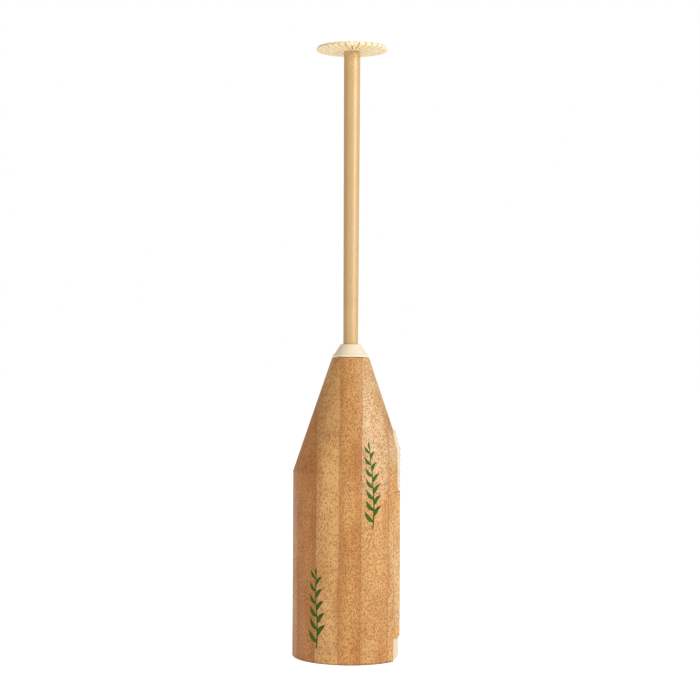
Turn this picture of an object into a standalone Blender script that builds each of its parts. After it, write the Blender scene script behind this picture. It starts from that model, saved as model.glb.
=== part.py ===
"""Battery-powered matcha whisk: a bamboo handle with a flat side, a motor and two AA cells
inside it, and a long shaft that turns a slotted disc.

It stands on its base at z = 0 with the whisk up. +X is the flat side with the switch and
the battery door. Metres, +Z up, origin on the handle's axis in the base plane.
"""

import math

import bmesh
import bpy
from mathutils import Matrix, Vector

MM = 0.001

# Clearances
FIT = 0.3 * MM                # between pieces that touch or slide
LOOSE = 1.0 * MM              # round pieces that only pass through

# Bamboo handle
HANDLE_WALL = 2.5 * MM
SHOULDER_RISE = 6.8 * MM      # from the top of the bay to where the cone starts
OVERALL_H = 219.0 * MM        # from the base to the top of the disc
WOOD_TOP_R = 6.6 * MM
WOOD_EDGE = 0.5 * MM
NOSE_BORE_R = 5.0 * MM

# Rises above the parting plane, which the door, the foot and the switch plate sit on
FLAT_RISE = 1.3 * MM          # the wood beside the switch plate
FOOT_RISE = 1.8 * MM
PLATE_RISE = 2.0 * MM
DOOR_RISE = 2.4 * MM
SLIDER_RISE = 2.75 * MM

# Cells and their contacts
CELL_R = 7.2 * MM
CELL_LEN = 50.5 * MM
CELL_NUB_R = 2.7 * MM
CELL_NUB_LEN = 1.0 * MM
CELL_GAP = 0.3 * MM
CONTACT_T = 0.4 * MM
SPRING_LEN = 1.9 * MM
SPRING_WIRE_R = 0.3 * MM
SPRING_R_WIDE = 3.6 * MM
SPRING_R_NARROW = 2.6 * MM
SPRING_TURNS = 2.0

# Base, foot and door
BASE_T = 2.2 * MM
FOOT_TOP_Z = 7.7 * MM
FOOT_LIFT = 0.1 * MM
FOOT_CHAMFER = 1.7 * MM
DOOR_CHAMFER = 0.8 * MM
LINER_T = 1.2 * MM
TONGUE_HALF_Y = 4.5 * MM
TONGUE_REACH = 1.8 * MM

# Chassis
BULKHEAD_T = 2.5 * MM
MOTOR_FLOOR_T = 1.8 * MM
TRAY_WALL = 1.3 * MM
CHASSIS_RIM = 1.55 * MM       # from the tray to the chassis's edge
TRAY_EDGE_X = -3.8 * MM
COLLAR_WALL = 0.8 * MM
COLLAR_LEN = 6.5 * MM

# Screws
SCREW_R = 1.0 * MM
SCREW_HEAD_R = 2.0 * MM
SCREW_HEAD_T = 1.1 * MM
LONG_SCREW_Y = 9.0 * MM
LONG_SCREW_BITE = 9.0 * MM
BASE_SCREW_XS = (-13.0 * MM, 10.0 * MM)
BASE_SCREW_BITE = 2.2 * MM

# Motor
MOTOR_R = 10.05 * MM
MOTOR_HALF_FLAT = 7.55 * MM
MOTOR_WALL = 0.7 * MM
MOTOR_CAP_LEN = 3.7 * MM
MOTOR_CAP_FLOOR = 1.6 * MM
MOTOR_CAN_LEN = 21.0 * MM
MOTOR_TOP_T = 0.9 * MM
MOTOR_BOSS_R = 3.1 * MM
MOTOR_BOSS_LEN = 1.6 * MM
MOTOR_SHAFT_R = 1.0 * MM
MOTOR_SHAFT_TAIL = 1.4 * MM
MOTOR_SHAFT_REACH = 8.0 * MM
MAGNET_T = 2.2 * MM
MAGNET_LEN = 15.0 * MM
ARMATURE_LEN = 11.0 * MM
CORE_WALL = 1.0 * MM          # left inside and outside each slot of the armature
SLOT_MOUTH = 1.1 * MM
WIRE_SPACE = 2.5 * MM         # height between the chassis and the motor for the leads

# Switch
PLATE_HALF_Y = 7.0 * MM
PLATE_FLOOR_T = 0.8 * MM
SLIDER_HALF_Y = 3.8 * MM
SLIDER_LEN = 15.0 * MM
SLIDER_RIBS = 8
RIB_DEPTH = 0.55 * MM
RIB_GROOVE = 0.9 * MM
SWITCH_TRAVEL = 2.0 * MM
STEM_HALF_Y = 1.7 * MM
STEM_LEN = 5.0 * MM
STEM_FOOT_HALF_Y = 3.0 * MM
STEM_FOOT_T = 1.1 * MM
WINDOW_MARGIN = 1.0 * MM
BRACKET_T = 1.7 * MM
BRACKET_HALF_Y = 5.4 * MM
STRIP_W = 1.6 * MM
STRIP_Y = 2.2 * MM
STRIP_LEG_W = 0.8 * MM

# Nose and whisk
NOSE_FLANGE_R = 6.4 * MM
NOSE_FLANGE_T = 0.7 * MM
NOSE_BASE_R = 5.95 * MM
NOSE_TOP_R = 3.6 * MM
NOSE_H = 3.7 * MM
NOSE_LIP = 1.3 * MM
SPIGOT_LEN = 8.3 * MM
BUSHING_WALL = 0.75 * MM
BUSHING_LEN = 9.0 * MM
SHAFT_R_LOW = 2.65 * MM
SHAFT_R_TOP = 2.95 * MM
COUPLING_R = 3.4 * MM
COUPLING_LEN = 8.5 * MM
ROD_R = 1.0 * MM
HEAD_T = 1.6 * MM
HEAD_RIM_RISE = 0.5 * MM      # from the underside up to the widest part of the rim
HEAD_TOP_R = 12.5 * MM
HEAD_R = 13.1 * MM
HEAD_UNDER_R = 10.6 * MM
HEAD_TEETH = 32
HEAD_SLOT_W = 0.5 * MM
HEAD_HUB_R = 4.0 * MM
HEAD_SPIGOT_R = 1.8 * MM
HEAD_SPIGOT_LEN = 5.0 * MM

# Leads
LEAD_R = 0.6 * MM

# Places worked out from the sizes above
CELL_Y = CELL_R + CELL_GAP / 2
CHASSIS_R = CELL_Y + CELL_R + FIT + TRAY_WALL + CHASSIS_RIM
CAVITY_R = CHASSIS_R + FIT
HANDLE_R = CAVITY_R + HANDLE_WALL
LONG_SCREW_X = -(CELL_R + TRAY_WALL + SCREW_HEAD_R + LOOSE)
CHASSIS_Z = BASE_T + FIT
BAY_FLOOR_Z = CHASSIS_Z + BULKHEAD_T
BRIDGE_Z = BAY_FLOOR_Z + FIT
CELL_LOW_Z = BRIDGE_Z + CONTACT_T + FIT
CELL_HIGH_Z = CELL_LOW_Z + SPRING_LEN + FIT
TOP_CONTACT_Z = CELL_HIGH_Z + CELL_LEN + FIT
BAY_TOP_Z = TOP_CONTACT_Z + CONTACT_T + FIT
SHOULDER_Z = BAY_TOP_Z + SHOULDER_RISE
MOTOR_FLOOR_Z = BAY_TOP_Z + MOTOR_FLOOR_T
CAVITY_TOP_Z = MOTOR_FLOOR_Z + FIT
DOOR_BOTTOM_Z = FOOT_TOP_Z + FIT
DOOR_TOP_Z = BAY_TOP_Z
OPENING_TOP_Z = DOOR_TOP_Z + FIT
MOTOR_Z = MOTOR_FLOOR_Z + WIRE_SPACE
CAN_Z = MOTOR_Z + MOTOR_CAP_LEN + FIT
CAN_TOP_Z = CAN_Z + MOTOR_CAN_LEN
COLLAR_IN_R = MOTOR_R + FIT
COLLAR_OUT_R = COLLAR_IN_R + COLLAR_WALL
COLLAR_TOP_Z = MOTOR_FLOOR_Z + COLLAR_LEN
SHAFT_HOLE_R = MOTOR_SHAFT_R + FIT
MOTOR_SHAFT_TOP_Z = CAN_TOP_Z + MOTOR_SHAFT_REACH
COUPLING_Z = CAN_TOP_Z + MOTOR_BOSS_LEN + LOOSE
COUPLING_TOP_Z = COUPLING_Z + COUPLING_LEN
SHAFT_Z = COUPLING_TOP_Z + FIT
HEAD_BOTTOM_Z = OVERALL_H - HEAD_T
SHAFT_TOP_Z = HEAD_BOTTOM_Z - FIT
BUSHING_IN_R = SHAFT_R_LOW + FIT
BUSHING_OUT_R = BUSHING_IN_R + BUSHING_WALL
BUSHING_Z = COUPLING_TOP_Z + LOOSE + FIT
NOSE_TOP_Z = BUSHING_Z + BUSHING_LEN + FIT + NOSE_LIP
NOSE_Z = NOSE_TOP_Z - NOSE_H - NOSE_FLANGE_T
WOOD_TOP_Z = NOSE_Z - FIT
CONE_SLOPE = (HANDLE_R - WOOD_TOP_R) / (WOOD_TOP_Z - SHOULDER_Z)
BRACKET_X = COLLAR_OUT_R - FIT / 2
STRIP_X = BRACKET_X + BRACKET_T + FIT
WIPER_X = STRIP_X + CONTACT_T + FIT
STEM_BACK_X = WIPER_X + CONTACT_T + FIT
PLATE_BACK_X = STEM_BACK_X + STEM_FOOT_T + FIT
PARTING_X = PLATE_BACK_X - FIT
FLAT_X = PARTING_X + FLAT_RISE
FOOT_FACE_X = PARTING_X + FOOT_RISE
PLATE_FACE_X = PARTING_X + PLATE_RISE
DOOR_FACE_X = PARTING_X + DOOR_RISE
SLIDER_FACE_X = PARTING_X + SLIDER_RISE
CHASSIS_FLAT_X = PARTING_X - LINER_T - LOOSE
OPENING_HALF_Y = math.sqrt(CAVITY_R ** 2 - PARTING_X ** 2)
FLAT_TOP_Z = SHOULDER_Z + (HANDLE_R - FLAT_X) / CONE_SLOPE
PLATE_PROUD = PLATE_RISE - FLAT_RISE
PLATE_TOP_Z = SHOULDER_Z + (HANDLE_R + PLATE_PROUD - PLATE_BACK_X) / CONE_SLOPE
POCKET_TOP_Z = SHOULDER_Z + (HANDLE_R - PARTING_X) / CONE_SLOPE
SLIDER_Z = OPENING_TOP_Z + FIT
SLIDER_BACK_X = PLATE_BACK_X + PLATE_FLOOR_T + FIT
RECESS_TOP_Z = SLIDER_Z + SLIDER_LEN + SWITCH_TRAVEL + FIT
STEM_Z = SLIDER_Z + (SLIDER_LEN - STEM_LEN) / 2 + 1.0 * MM
BRACKET_TOP_Z = STEM_Z + STEM_LEN + 2 * SWITCH_TRAVEL + LOOSE
WINDOW_TOP_Z = BRACKET_TOP_Z + LOOSE
LEG_Y = -(STEM_FOOT_HALF_Y + FIT + STRIP_LEG_W / 2)
LEAD_Z = MOTOR_FLOOR_Z + WIRE_SPACE / 2
MAGNET_IN_R = MOTOR_R - MOTOR_WALL - FIT - MAGNET_T
ARMATURE_R = min(MAGNET_IN_R, MOTOR_HALF_FLAT - MOTOR_WALL) - FIT
SLOT_R = (ARMATURE_R - SHAFT_HOLE_R) / 2 - CORE_WALL
SLOT_CENTRE_R = (ARMATURE_R + SHAFT_HOLE_R) / 2
ARMATURE_Z = CAN_Z + 0.25 * MOTOR_CAN_LEN
COMMUTATOR_R = 2.2 * MM
BRUSH_Y = COMMUTATOR_R + FIT
BEYOND = 5 * MM               # how far a cutter runs past the piece it cuts

FINISHES = {                  # colour, roughness, metallic
    "bamboo": ((0.58, 0.33, 0.15), 0.55, 0.0),
    "cream_plastic": ((0.80, 0.70, 0.52), 0.40, 0.0),
    "shaft_plastic": ((0.70, 0.50, 0.27), 0.30, 0.0),
    "grey_plastic": ((0.72, 0.71, 0.66), 0.45, 0.0),
    "white_plastic": ((0.80, 0.79, 0.75), 0.45, 0.0),
    "steel": ((0.62, 0.62, 0.64), 0.30, 1.0),
    "brass": ((0.75, 0.55, 0.25), 0.35, 1.0),
    "copper": ((0.72, 0.36, 0.20), 0.35, 1.0),
    "ferrite": ((0.08, 0.08, 0.09), 0.70, 0.0),
    "cell_wrap": ((0.10, 0.12, 0.16), 0.35, 0.0),
    "lead_red": ((0.55, 0.05, 0.04), 0.50, 0.0),
    "lead_black": ((0.03, 0.03, 0.03), 0.50, 0.0),
}


# ---------------------------------------------------------------- scene and helpers

for old in list(bpy.data.objects):
    bpy.data.objects.remove(old, do_unlink=True)

PARTS = bpy.data.collections.new("matcha_whisk")
CUTTERS = bpy.data.collections.new("cutters")
bpy.context.scene.collection.children.link(PARTS)
bpy.context.scene.collection.children.link(CUTTERS)


def finish_material(name, finish):
    """A Principled material for one piece, from the finish's colour and surface."""
    colour, roughness, metallic = FINISHES[finish]
    material = bpy.data.materials.new(name)
    material.use_nodes = True
    shader = material.node_tree.nodes["Principled BSDF"]
    shader.inputs["Base Color"].default_value = (*colour, 1.0)
    shader.inputs["Roughness"].default_value = roughness
    shader.inputs["Metallic"].default_value = metallic
    return material


def place(name, data, finish, location=(0, 0, 0)):
    """Put mesh or curve data in the scene: a piece with a finish, or a cutter without."""
    piece = bpy.data.objects.new(name, data)
    piece.location = location
    if finish:
        PARTS.objects.link(piece)
        data.materials.append(finish_material(name, finish))
    else:
        CUTTERS.objects.link(piece)
        piece.hide_render = True
        piece.display_type = "WIRE"
    return piece


def to_mesh(name, bm):
    """Turn a bmesh into mesh data with smooth rounds and sharp edges."""
    bmesh.ops.recalc_face_normals(bm, faces=bm.faces[:])
    mesh = bpy.data.meshes.new(name)
    bm.to_mesh(mesh)
    bm.free()
    mesh.shade_smooth()
    mesh.set_sharp_from_angle(angle=math.radians(30))
    return mesh


def block(name, x, y, z, finish=None):
    """A box from its two ends along each axis."""
    low = Vector((x[0], y[0], z[0]))
    high = Vector((x[1], y[1], z[1]))
    bm = bmesh.new()
    bmesh.ops.create_cube(bm, size=1.0)
    bmesh.ops.scale(bm, vec=high - low, verts=bm.verts[:])
    return place(name, to_mesh(name, bm), finish, (low + high) / 2)


def rod(name, radius, z, finish=None, at=(0, 0), segments=32):
    """An upright round bar between two heights."""
    bm = bmesh.new()
    bmesh.ops.create_cone(bm, cap_ends=True, segments=segments,
                          radius1=radius, radius2=radius, depth=z[1] - z[0])
    return place(name, to_mesh(name, bm), finish, (at[0], at[1], (z[0] + z[1]) / 2))


def keep_behind(bm, point, normal):
    """Cut a closed solid with a plane and close it again, keeping the side behind."""
    everything = bm.verts[:] + bm.edges[:] + bm.faces[:]
    cut = bmesh.ops.bisect_plane(bm, geom=everything, plane_co=point, plane_no=normal,
                                 clear_outer=True)
    rim = [item for item in cut["geom_cut"] if isinstance(item, bmesh.types.BMEdge)]
    bmesh.ops.holes_fill(bm, edges=rim, sides=0)


def round_slab(name, radius, x, z, finish=None, segments=64, chamfer=0.0):
    """The part of an upright cylinder between two planes across X.

    A chamfer takes the lower edge of its face at the higher X.
    """
    bm = bmesh.new()
    bmesh.ops.create_cone(bm, cap_ends=True, segments=segments,
                          radius1=radius, radius2=radius, depth=z[1] - z[0])
    middle = (z[0] + z[1]) / 2
    if x[1] < radius:
        keep_behind(bm, (x[1], 0, 0), (1, 0, 0))
    if x[0] > -radius:
        keep_behind(bm, (x[0], 0, 0), (-1, 0, 0))
    if chamfer:
        keep_behind(bm, (x[1], 0, z[0] - middle + chamfer), (1, 0, -1))
    return place(name, to_mesh(name, bm), finish, (0, 0, middle))


def turned(name, profile, finish=None, steps=48, ring=False):
    """A profile of (radius, height) points turned about the handle's axis.

    The profile runs down the outer side. A ring's profile closes on itself.
    """
    bm = bmesh.new()
    points = [bm.verts.new((radius, 0, height)) for radius, height in profile]
    for upper, lower in zip(points, points[1:]):
        bm.edges.new((upper, lower))
    if ring:
        bm.edges.new((points[-1], points[0]))
    mesh = bpy.data.meshes.new(name)
    bm.to_mesh(mesh)
    bm.free()
    piece = place(name, mesh, finish)
    screw = piece.modifiers.new("turn", "SCREW")
    screw.angle = 2 * math.pi
    screw.steps = steps
    screw.render_steps = steps
    screw.use_merge_vertices = True
    screw.merge_threshold = 0.00001
    return piece


def sleeve(name, outer, inner, z, finish=None, steps=32):
    """A plain round tube between two heights."""
    profile = [(outer, z[1]), (outer, z[0]), (inner, z[0]), (inner, z[1])]
    return turned(name, profile, finish, steps, ring=True)


def combine(piece, tool, operation):
    step = piece.modifiers.new(tool.name, "BOOLEAN")
    step.operation = operation
    step.object = tool
    step.solver = "EXACT"


def cut(piece, *tools):
    for tool in tools:
        combine(piece, tool, "DIFFERENCE")


def join(piece, *tools):
    for tool in tools:
        combine(piece, tool, "UNION")


def trim_to(piece, tool):
    combine(piece, tool, "INTERSECT")


def pivot(name, location):
    """An empty on a joint's axis, which carries the pieces that move about it."""
    empty = bpy.data.objects.new(name, None)
    empty.location = location
    empty.empty_display_size = 0.01
    PARTS.objects.link(empty)
    return empty


def carry(empty, pieces):
    """Hang pieces on a joint's empty without moving them."""
    for piece in pieces:
        piece.parent = empty
        piece.location = piece.location - empty.location


def round_wire(name, points, radius, finish, smooth):
    """A wire with filled ends: straight steps for a coil, auto handles for a lead."""
    curve = bpy.data.curves.new(name, "CURVE")
    curve.dimensions = "3D"
    curve.bevel_depth = radius
    curve.bevel_resolution = 2
    curve.use_fill_caps = True
    curve.resolution_u = 4
    spline = curve.splines.new("BEZIER" if smooth else "POLY")
    if smooth:
        spline.bezier_points.add(len(points) - 1)
        for knot, point in zip(spline.bezier_points, points):
            knot.co = point
            knot.handle_left_type = "AUTO"
            knot.handle_right_type = "AUTO"
    else:
        spline.points.add(len(points) - 1)
        for knot, point in zip(spline.points, points):
            knot.co = (*point, 1.0)
    return place(name, curve, finish)


def handle_profile(offset=0.0, low=0.0):
    """The handle's outline, or the same outline set outwards."""
    return [
        (0, WOOD_TOP_Z + offset),
        (WOOD_TOP_R + offset - WOOD_EDGE, WOOD_TOP_Z + offset),
        (WOOD_TOP_R + offset, WOOD_TOP_Z - WOOD_EDGE + offset),
        (HANDLE_R + offset, SHOULDER_Z),
        (HANDLE_R + offset, low),
        (0, low),
    ]


# ---------------------------------------------------------------- bamboo handle

def make_shell():
    """The turned and bored handle, cut flat on one side for the door and the switch."""
    profile = handle_profile()[1:-1] + [
        (CAVITY_R, 0),
        (CAVITY_R, CAVITY_TOP_Z),
        (COLLAR_OUT_R + FIT, CAVITY_TOP_Z),
        (COLLAR_OUT_R + FIT, COLLAR_TOP_Z + FIT),
        (COLLAR_IN_R, COLLAR_TOP_Z + FIT),
        (COLLAR_IN_R, CAN_TOP_Z + FIT),
        (NOSE_BORE_R, CAN_TOP_Z + FIT),
        (NOSE_BORE_R, WOOD_TOP_Z),
    ]
    shell = turned("bamboo_shell", profile, "bamboo", steps=64, ring=True)
    parting = block("cut_parting", (PARTING_X, HANDLE_R + BEYOND),
                    (-HANDLE_R - BEYOND, HANDLE_R + BEYOND), (-BEYOND, OPENING_TOP_Z))
    flat = block("cut_flat", (FLAT_X, HANDLE_R + BEYOND),
                 (-HANDLE_R - BEYOND, HANDLE_R + BEYOND),
                 (OPENING_TOP_Z - BEYOND, FLAT_TOP_Z + BEYOND))
    plate_edge = PLATE_HALF_Y + FIT
    pocket = block("cut_switch_pocket", (PARTING_X, HANDLE_R + BEYOND),
                   (-plate_edge, plate_edge),
                   (OPENING_TOP_Z - BEYOND, POCKET_TOP_Z + BEYOND))
    window_edge = BRACKET_HALF_Y + WINDOW_MARGIN
    window = block("cut_switch_window", (BRACKET_X - WINDOW_MARGIN, PARTING_X + BEYOND),
                   (-window_edge, window_edge), (OPENING_TOP_Z - BEYOND, WINDOW_TOP_Z))
    cut(shell, parting, flat, pocket, window)
    for side, tag in ((1, "1"), (-1, "2")):
        hole = rod("cut_screw_hole_" + tag, SCREW_R + FIT,
                   (CAVITY_TOP_Z - LOOSE, MOTOR_FLOOR_Z + LONG_SCREW_BITE + FIT),
                   at=(LONG_SCREW_X, side * LONG_SCREW_Y), segments=16)
        cut(shell, hole)


# ---------------------------------------------------------------- base, foot and door

def make_base():
    base = round_slab("base_plate", CHASSIS_R, (-CHASSIS_R - BEYOND, PARTING_X - FIT),
                      (0, BASE_T), "cream_plastic")
    neck_y = OPENING_HALF_Y - FIT
    neck = block("add_base_neck", (CHASSIS_FLAT_X - BEYOND, (PARTING_X + FOOT_FACE_X) / 2),
                 (-neck_y, neck_y), (FOOT_CHAMFER / 2 + FOOT_LIFT, BASE_T))
    foot = round_slab("add_foot", HANDLE_R - FOOT_LIFT, (PARTING_X + FIT, FOOT_FACE_X),
                      (FOOT_LIFT, FOOT_TOP_Z), chamfer=FOOT_CHAMFER)
    join(base, neck, foot)
    for place_x, tag in zip(BASE_SCREW_XS, "12"):
        head = rod("cut_base_head_" + tag, SCREW_HEAD_R + FIT,
                   (-BEYOND, SCREW_HEAD_T + FIT), at=(place_x, 0), segments=24)
        hole = rod("cut_base_hole_" + tag, SCREW_R + FIT, (-BEYOND, BASE_T + BEYOND),
                   at=(place_x, 0), segments=16)
        cut(base, head, hole)


def make_screw(name, at, z, head_up):
    """A pan-head screw between two heights, with its head at the upper or lower end."""
    if head_up:
        head_z = (z[1] - SCREW_HEAD_T, z[1])
    else:
        head_z = (z[0], z[0] + SCREW_HEAD_T)
    screw = rod(name, SCREW_HEAD_R, head_z, "steel", at, segments=24)
    shank = rod("add_shank_" + name, SCREW_R, z, None, at, segments=16)
    join(screw, shank)
    return screw


def make_door():
    door = round_slab("battery_door", HANDLE_R, (PARTING_X + FIT, DOOR_FACE_X),
                      (DOOR_BOTTOM_Z, DOOR_TOP_Z), "bamboo", chamfer=DOOR_CHAMFER)
    liner_x = (PARTING_X - LINER_T, PARTING_X)
    edge = OPENING_HALF_Y - FIT
    liner = block("door_liner", liner_x, (-edge, edge),
                  (DOOR_BOTTOM_Z + LOOSE, DOOR_TOP_Z - LOOSE), "cream_plastic")
    tongue = block("add_tongue", (liner_x[0], liner_x[1] - FIT / 2),
                   (-TONGUE_HALF_Y, TONGUE_HALF_Y),
                   (DOOR_TOP_Z - BEYOND, DOOR_TOP_Z + TONGUE_REACH))
    join(liner, tongue)
    hinge = pivot("door_axis", Vector((DOOR_FACE_X, 0, DOOR_TOP_Z)))
    carry(hinge, (door, liner))


# ---------------------------------------------------------------- chassis

def make_chassis():
    chassis = round_slab("chassis", CHASSIS_R, (-CHASSIS_R - BEYOND, CHASSIS_FLAT_X),
                         (CHASSIS_Z, BAY_FLOOR_Z), "cream_plastic")
    motor_floor = round_slab("add_motor_floor", CHASSIS_R,
                             (-CHASSIS_R - BEYOND, CHASSIS_FLAT_X),
                             (BAY_TOP_Z, MOTOR_FLOOR_Z))
    collar = sleeve("add_collar", COLLAR_OUT_R, COLLAR_IN_R,
                    (BAY_TOP_Z + FIT, COLLAR_TOP_Z), steps=48)
    bracket = block("add_bracket", (BRACKET_X, BRACKET_X + BRACKET_T),
                    (-BRACKET_HALF_Y, BRACKET_HALF_Y), (BAY_TOP_Z + FIT, BRACKET_TOP_Z))
    tray_z = (CHASSIS_Z + FIT, BAY_TOP_Z + FIT)
    join(chassis, motor_floor)
    for side, tag in ((1, "1"), (-1, "2")):
        trough = round_tray("add_tray_" + tag, CELL_R + FIT + TRAY_WALL, tray_z, side)
        join(chassis, trough)
    for side, tag in ((1, "1"), (-1, "2")):
        hollow = rod("cut_cell_bay_" + tag, CELL_R + FIT, (BAY_FLOOR_Z, BAY_TOP_Z),
                     at=(0, side * CELL_Y), segments=40)
        access = rod("cut_access_" + tag, SCREW_HEAD_R + FIT, (0, BAY_FLOOR_Z + BEYOND),
                     at=(LONG_SCREW_X, side * LONG_SCREW_Y), segments=24)
        hole = rod("cut_floor_hole_" + tag, SCREW_R + FIT,
                   (BAY_TOP_Z - LOOSE, MOTOR_FLOOR_Z + BEYOND),
                   at=(LONG_SCREW_X, side * LONG_SCREW_Y), segments=16)
        tab = block("cut_tab_slot_" + tag, (-1.5 * MM - FIT, 1.5 * MM + FIT),
                    (side * CELL_Y - CONTACT_T / 2 - FIT, side * CELL_Y + CONTACT_T / 2 + FIT),
                    (BAY_TOP_Z - LOOSE, MOTOR_FLOOR_Z + LOOSE))
        cut(chassis, hollow, access, hole, tab)
    for place_x, tag in zip(BASE_SCREW_XS, "12"):
        pilot = rod("cut_pilot_" + tag, SCREW_R + FIT, (0, BAY_FLOOR_Z + BEYOND),
                    at=(place_x, 0), segments=16)
        cut(chassis, pilot)
    join(chassis, collar, bracket)
    for middle, tag in ((STRIP_Y, "1"), (LEG_Y, "2")):
        eye = block("cut_lead_eye_" + tag, (BRACKET_X - BEYOND, BRACKET_X + BEYOND),
                    (middle - LEAD_R - FIT, middle + LEAD_R + FIT),
                    (LEAD_Z - LEAD_R - FIT, LEAD_Z + LEAD_R + FIT))
        cut(chassis, eye)
    seat = rod("cut_motor_seat", COLLAR_IN_R, (MOTOR_FLOOR_Z, BRACKET_TOP_Z + BEYOND),
               segments=48)
    cut(chassis, seat)


def round_tray(name, radius, z, side):
    """Half of a tube's outside behind one cell, kept back from the bay's mouth."""
    bm = bmesh.new()
    bmesh.ops.create_cone(bm, cap_ends=True, segments=40,
                          radius1=radius, radius2=radius, depth=z[1] - z[0])
    keep_behind(bm, (TRAY_EDGE_X, 0, 0), (1, 0, 0))
    keep_behind(bm, (0, -side * (CELL_Y + FIT), 0), (0, -side, 0))
    return place(name, to_mesh(name, bm), None, (0, side * CELL_Y, (z[0] + z[1]) / 2))


# ---------------------------------------------------------------- cells and contacts

def make_cell(name, side, z_low, nub_up):
    """An AA cell with its raised end up or down."""
    body_len = CELL_LEN - CELL_NUB_LEN
    body_z = z_low if nub_up else z_low + CELL_NUB_LEN
    cell = rod(name, CELL_R, (body_z, body_z + body_len), "cell_wrap",
               at=(0, side * CELL_Y), segments=40)
    nub = rod("add_nub_" + name, CELL_NUB_R, (z_low + (CELL_NUB_LEN if nub_up else 0),
                                              z_low + CELL_LEN - (0 if nub_up else CELL_NUB_LEN)),
              at=(0, side * CELL_Y), segments=24)
    join(cell, nub)


def make_spring(name, side, z, wide_low):
    """A conical battery spring squeezed between a contact and a cell."""
    per_turn = 12
    count = round(SPRING_TURNS * per_turn)
    low = z[0] + SPRING_WIRE_R
    rise = z[1] - z[0] - 2 * SPRING_WIRE_R
    points = []
    for step in range(count + 1):
        share = step / count
        narrow = share if wide_low else 1 - share
        radius = SPRING_R_WIDE + (SPRING_R_NARROW - SPRING_R_WIDE) * narrow
        angle = 2 * math.pi * SPRING_TURNS * share
        points.append((radius * math.cos(angle), side * CELL_Y + radius * math.sin(angle),
                       low + rise * share))
    return round_wire(name, points, SPRING_WIRE_R, "steel", smooth=False)


def make_contacts():
    bridge_y = CELL_Y + SPRING_R_WIDE
    bridge_x = -TRAY_EDGE_X - FIT
    block("bridge_contact", (-bridge_x, bridge_x), (-bridge_y, bridge_y),
          (BRIDGE_Z, BRIDGE_Z + CONTACT_T), "brass")
    make_spring("lower_spring", 1, (CELL_LOW_Z, CELL_HIGH_Z - FIT), wide_low=True)
    make_spring("upper_spring", -1, (CELL_LOW_Z + CELL_LEN + FIT, TOP_CONTACT_Z - FIT),
                wide_low=False)
    for side, name in ((1, "positive_contact"), (-1, "negative_contact")):
        pad = block(name, (-4 * MM, 4 * MM), (side * CELL_Y - 4 * MM, side * CELL_Y + 4 * MM),
                    (TOP_CONTACT_Z, TOP_CONTACT_Z + CONTACT_T), "brass")
        tab = block("add_tab_" + name, (-1.5 * MM, 1.5 * MM),
                    (side * CELL_Y - CONTACT_T / 2, side * CELL_Y + CONTACT_T / 2),
                    (TOP_CONTACT_Z + CONTACT_T / 2, LEAD_Z + LEAD_R))
        join(pad, tab)


# ---------------------------------------------------------------- motor

def motor_section(name, radius, half_flat, z, finish=None):
    """A round bar with two flats, the section of a small motor's can."""
    return round_slab(name, radius, (-half_flat, half_flat), z, finish, segments=48)


def make_motor():
    can = motor_section("motor_can", MOTOR_R, MOTOR_HALF_FLAT, (CAN_Z, CAN_TOP_Z), "steel")
    hollow = motor_section("cut_can_hollow", MOTOR_R - MOTOR_WALL,
                           MOTOR_HALF_FLAT - MOTOR_WALL,
                           (CAN_Z - BEYOND, CAN_TOP_Z - MOTOR_TOP_T))
    boss = rod("add_motor_boss", MOTOR_BOSS_R,
               (CAN_TOP_Z - MOTOR_TOP_T / 2, CAN_TOP_Z + MOTOR_BOSS_LEN))
    shaft_hole = rod("cut_can_shaft_hole", SHAFT_HOLE_R, (CAN_Z, CAN_TOP_Z + BEYOND),
                     segments=16)
    join(can, boss)
    cut(can, hollow, shaft_hole)

    cap = motor_section("motor_end_cap", MOTOR_R, MOTOR_HALF_FLAT,
                        (MOTOR_Z, MOTOR_Z + MOTOR_CAP_LEN), "white_plastic")
    cap_hollow = motor_section("cut_cap_hollow", MOTOR_R - 2 * MOTOR_WALL,
                               MOTOR_HALF_FLAT - 2 * MOTOR_WALL,
                               (MOTOR_Z + MOTOR_CAP_FLOOR, MOTOR_Z + MOTOR_CAP_LEN + BEYOND))
    cap_hole = rod("cut_cap_shaft_hole", SHAFT_HOLE_R, (MOTOR_Z - BEYOND, MOTOR_Z + BEYOND),
                   segments=16)
    cut(cap, cap_hollow, cap_hole)

    tab_z = (LEAD_Z - LEAD_R, CAN_Z + 2.5 * MM)
    for side, tag in ((1, "1"), (-1, "2")):
        near = side * BRUSH_Y
        far = side * (BRUSH_Y + CONTACT_T)
        y = (min(near, far), max(near, far))
        block("motor_terminal_" + tag, (-1.0 * MM, 1.0 * MM), y, tab_z, "brass")
        slot = block("cut_terminal_slot_" + tag, (-1.0 * MM - FIT, 1.0 * MM + FIT),
                     (y[0] - FIT, y[1] + FIT), (MOTOR_Z - BEYOND, MOTOR_Z + BEYOND))
        cut(cap, slot)
        make_magnet("motor_magnet_" + tag, side)


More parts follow.
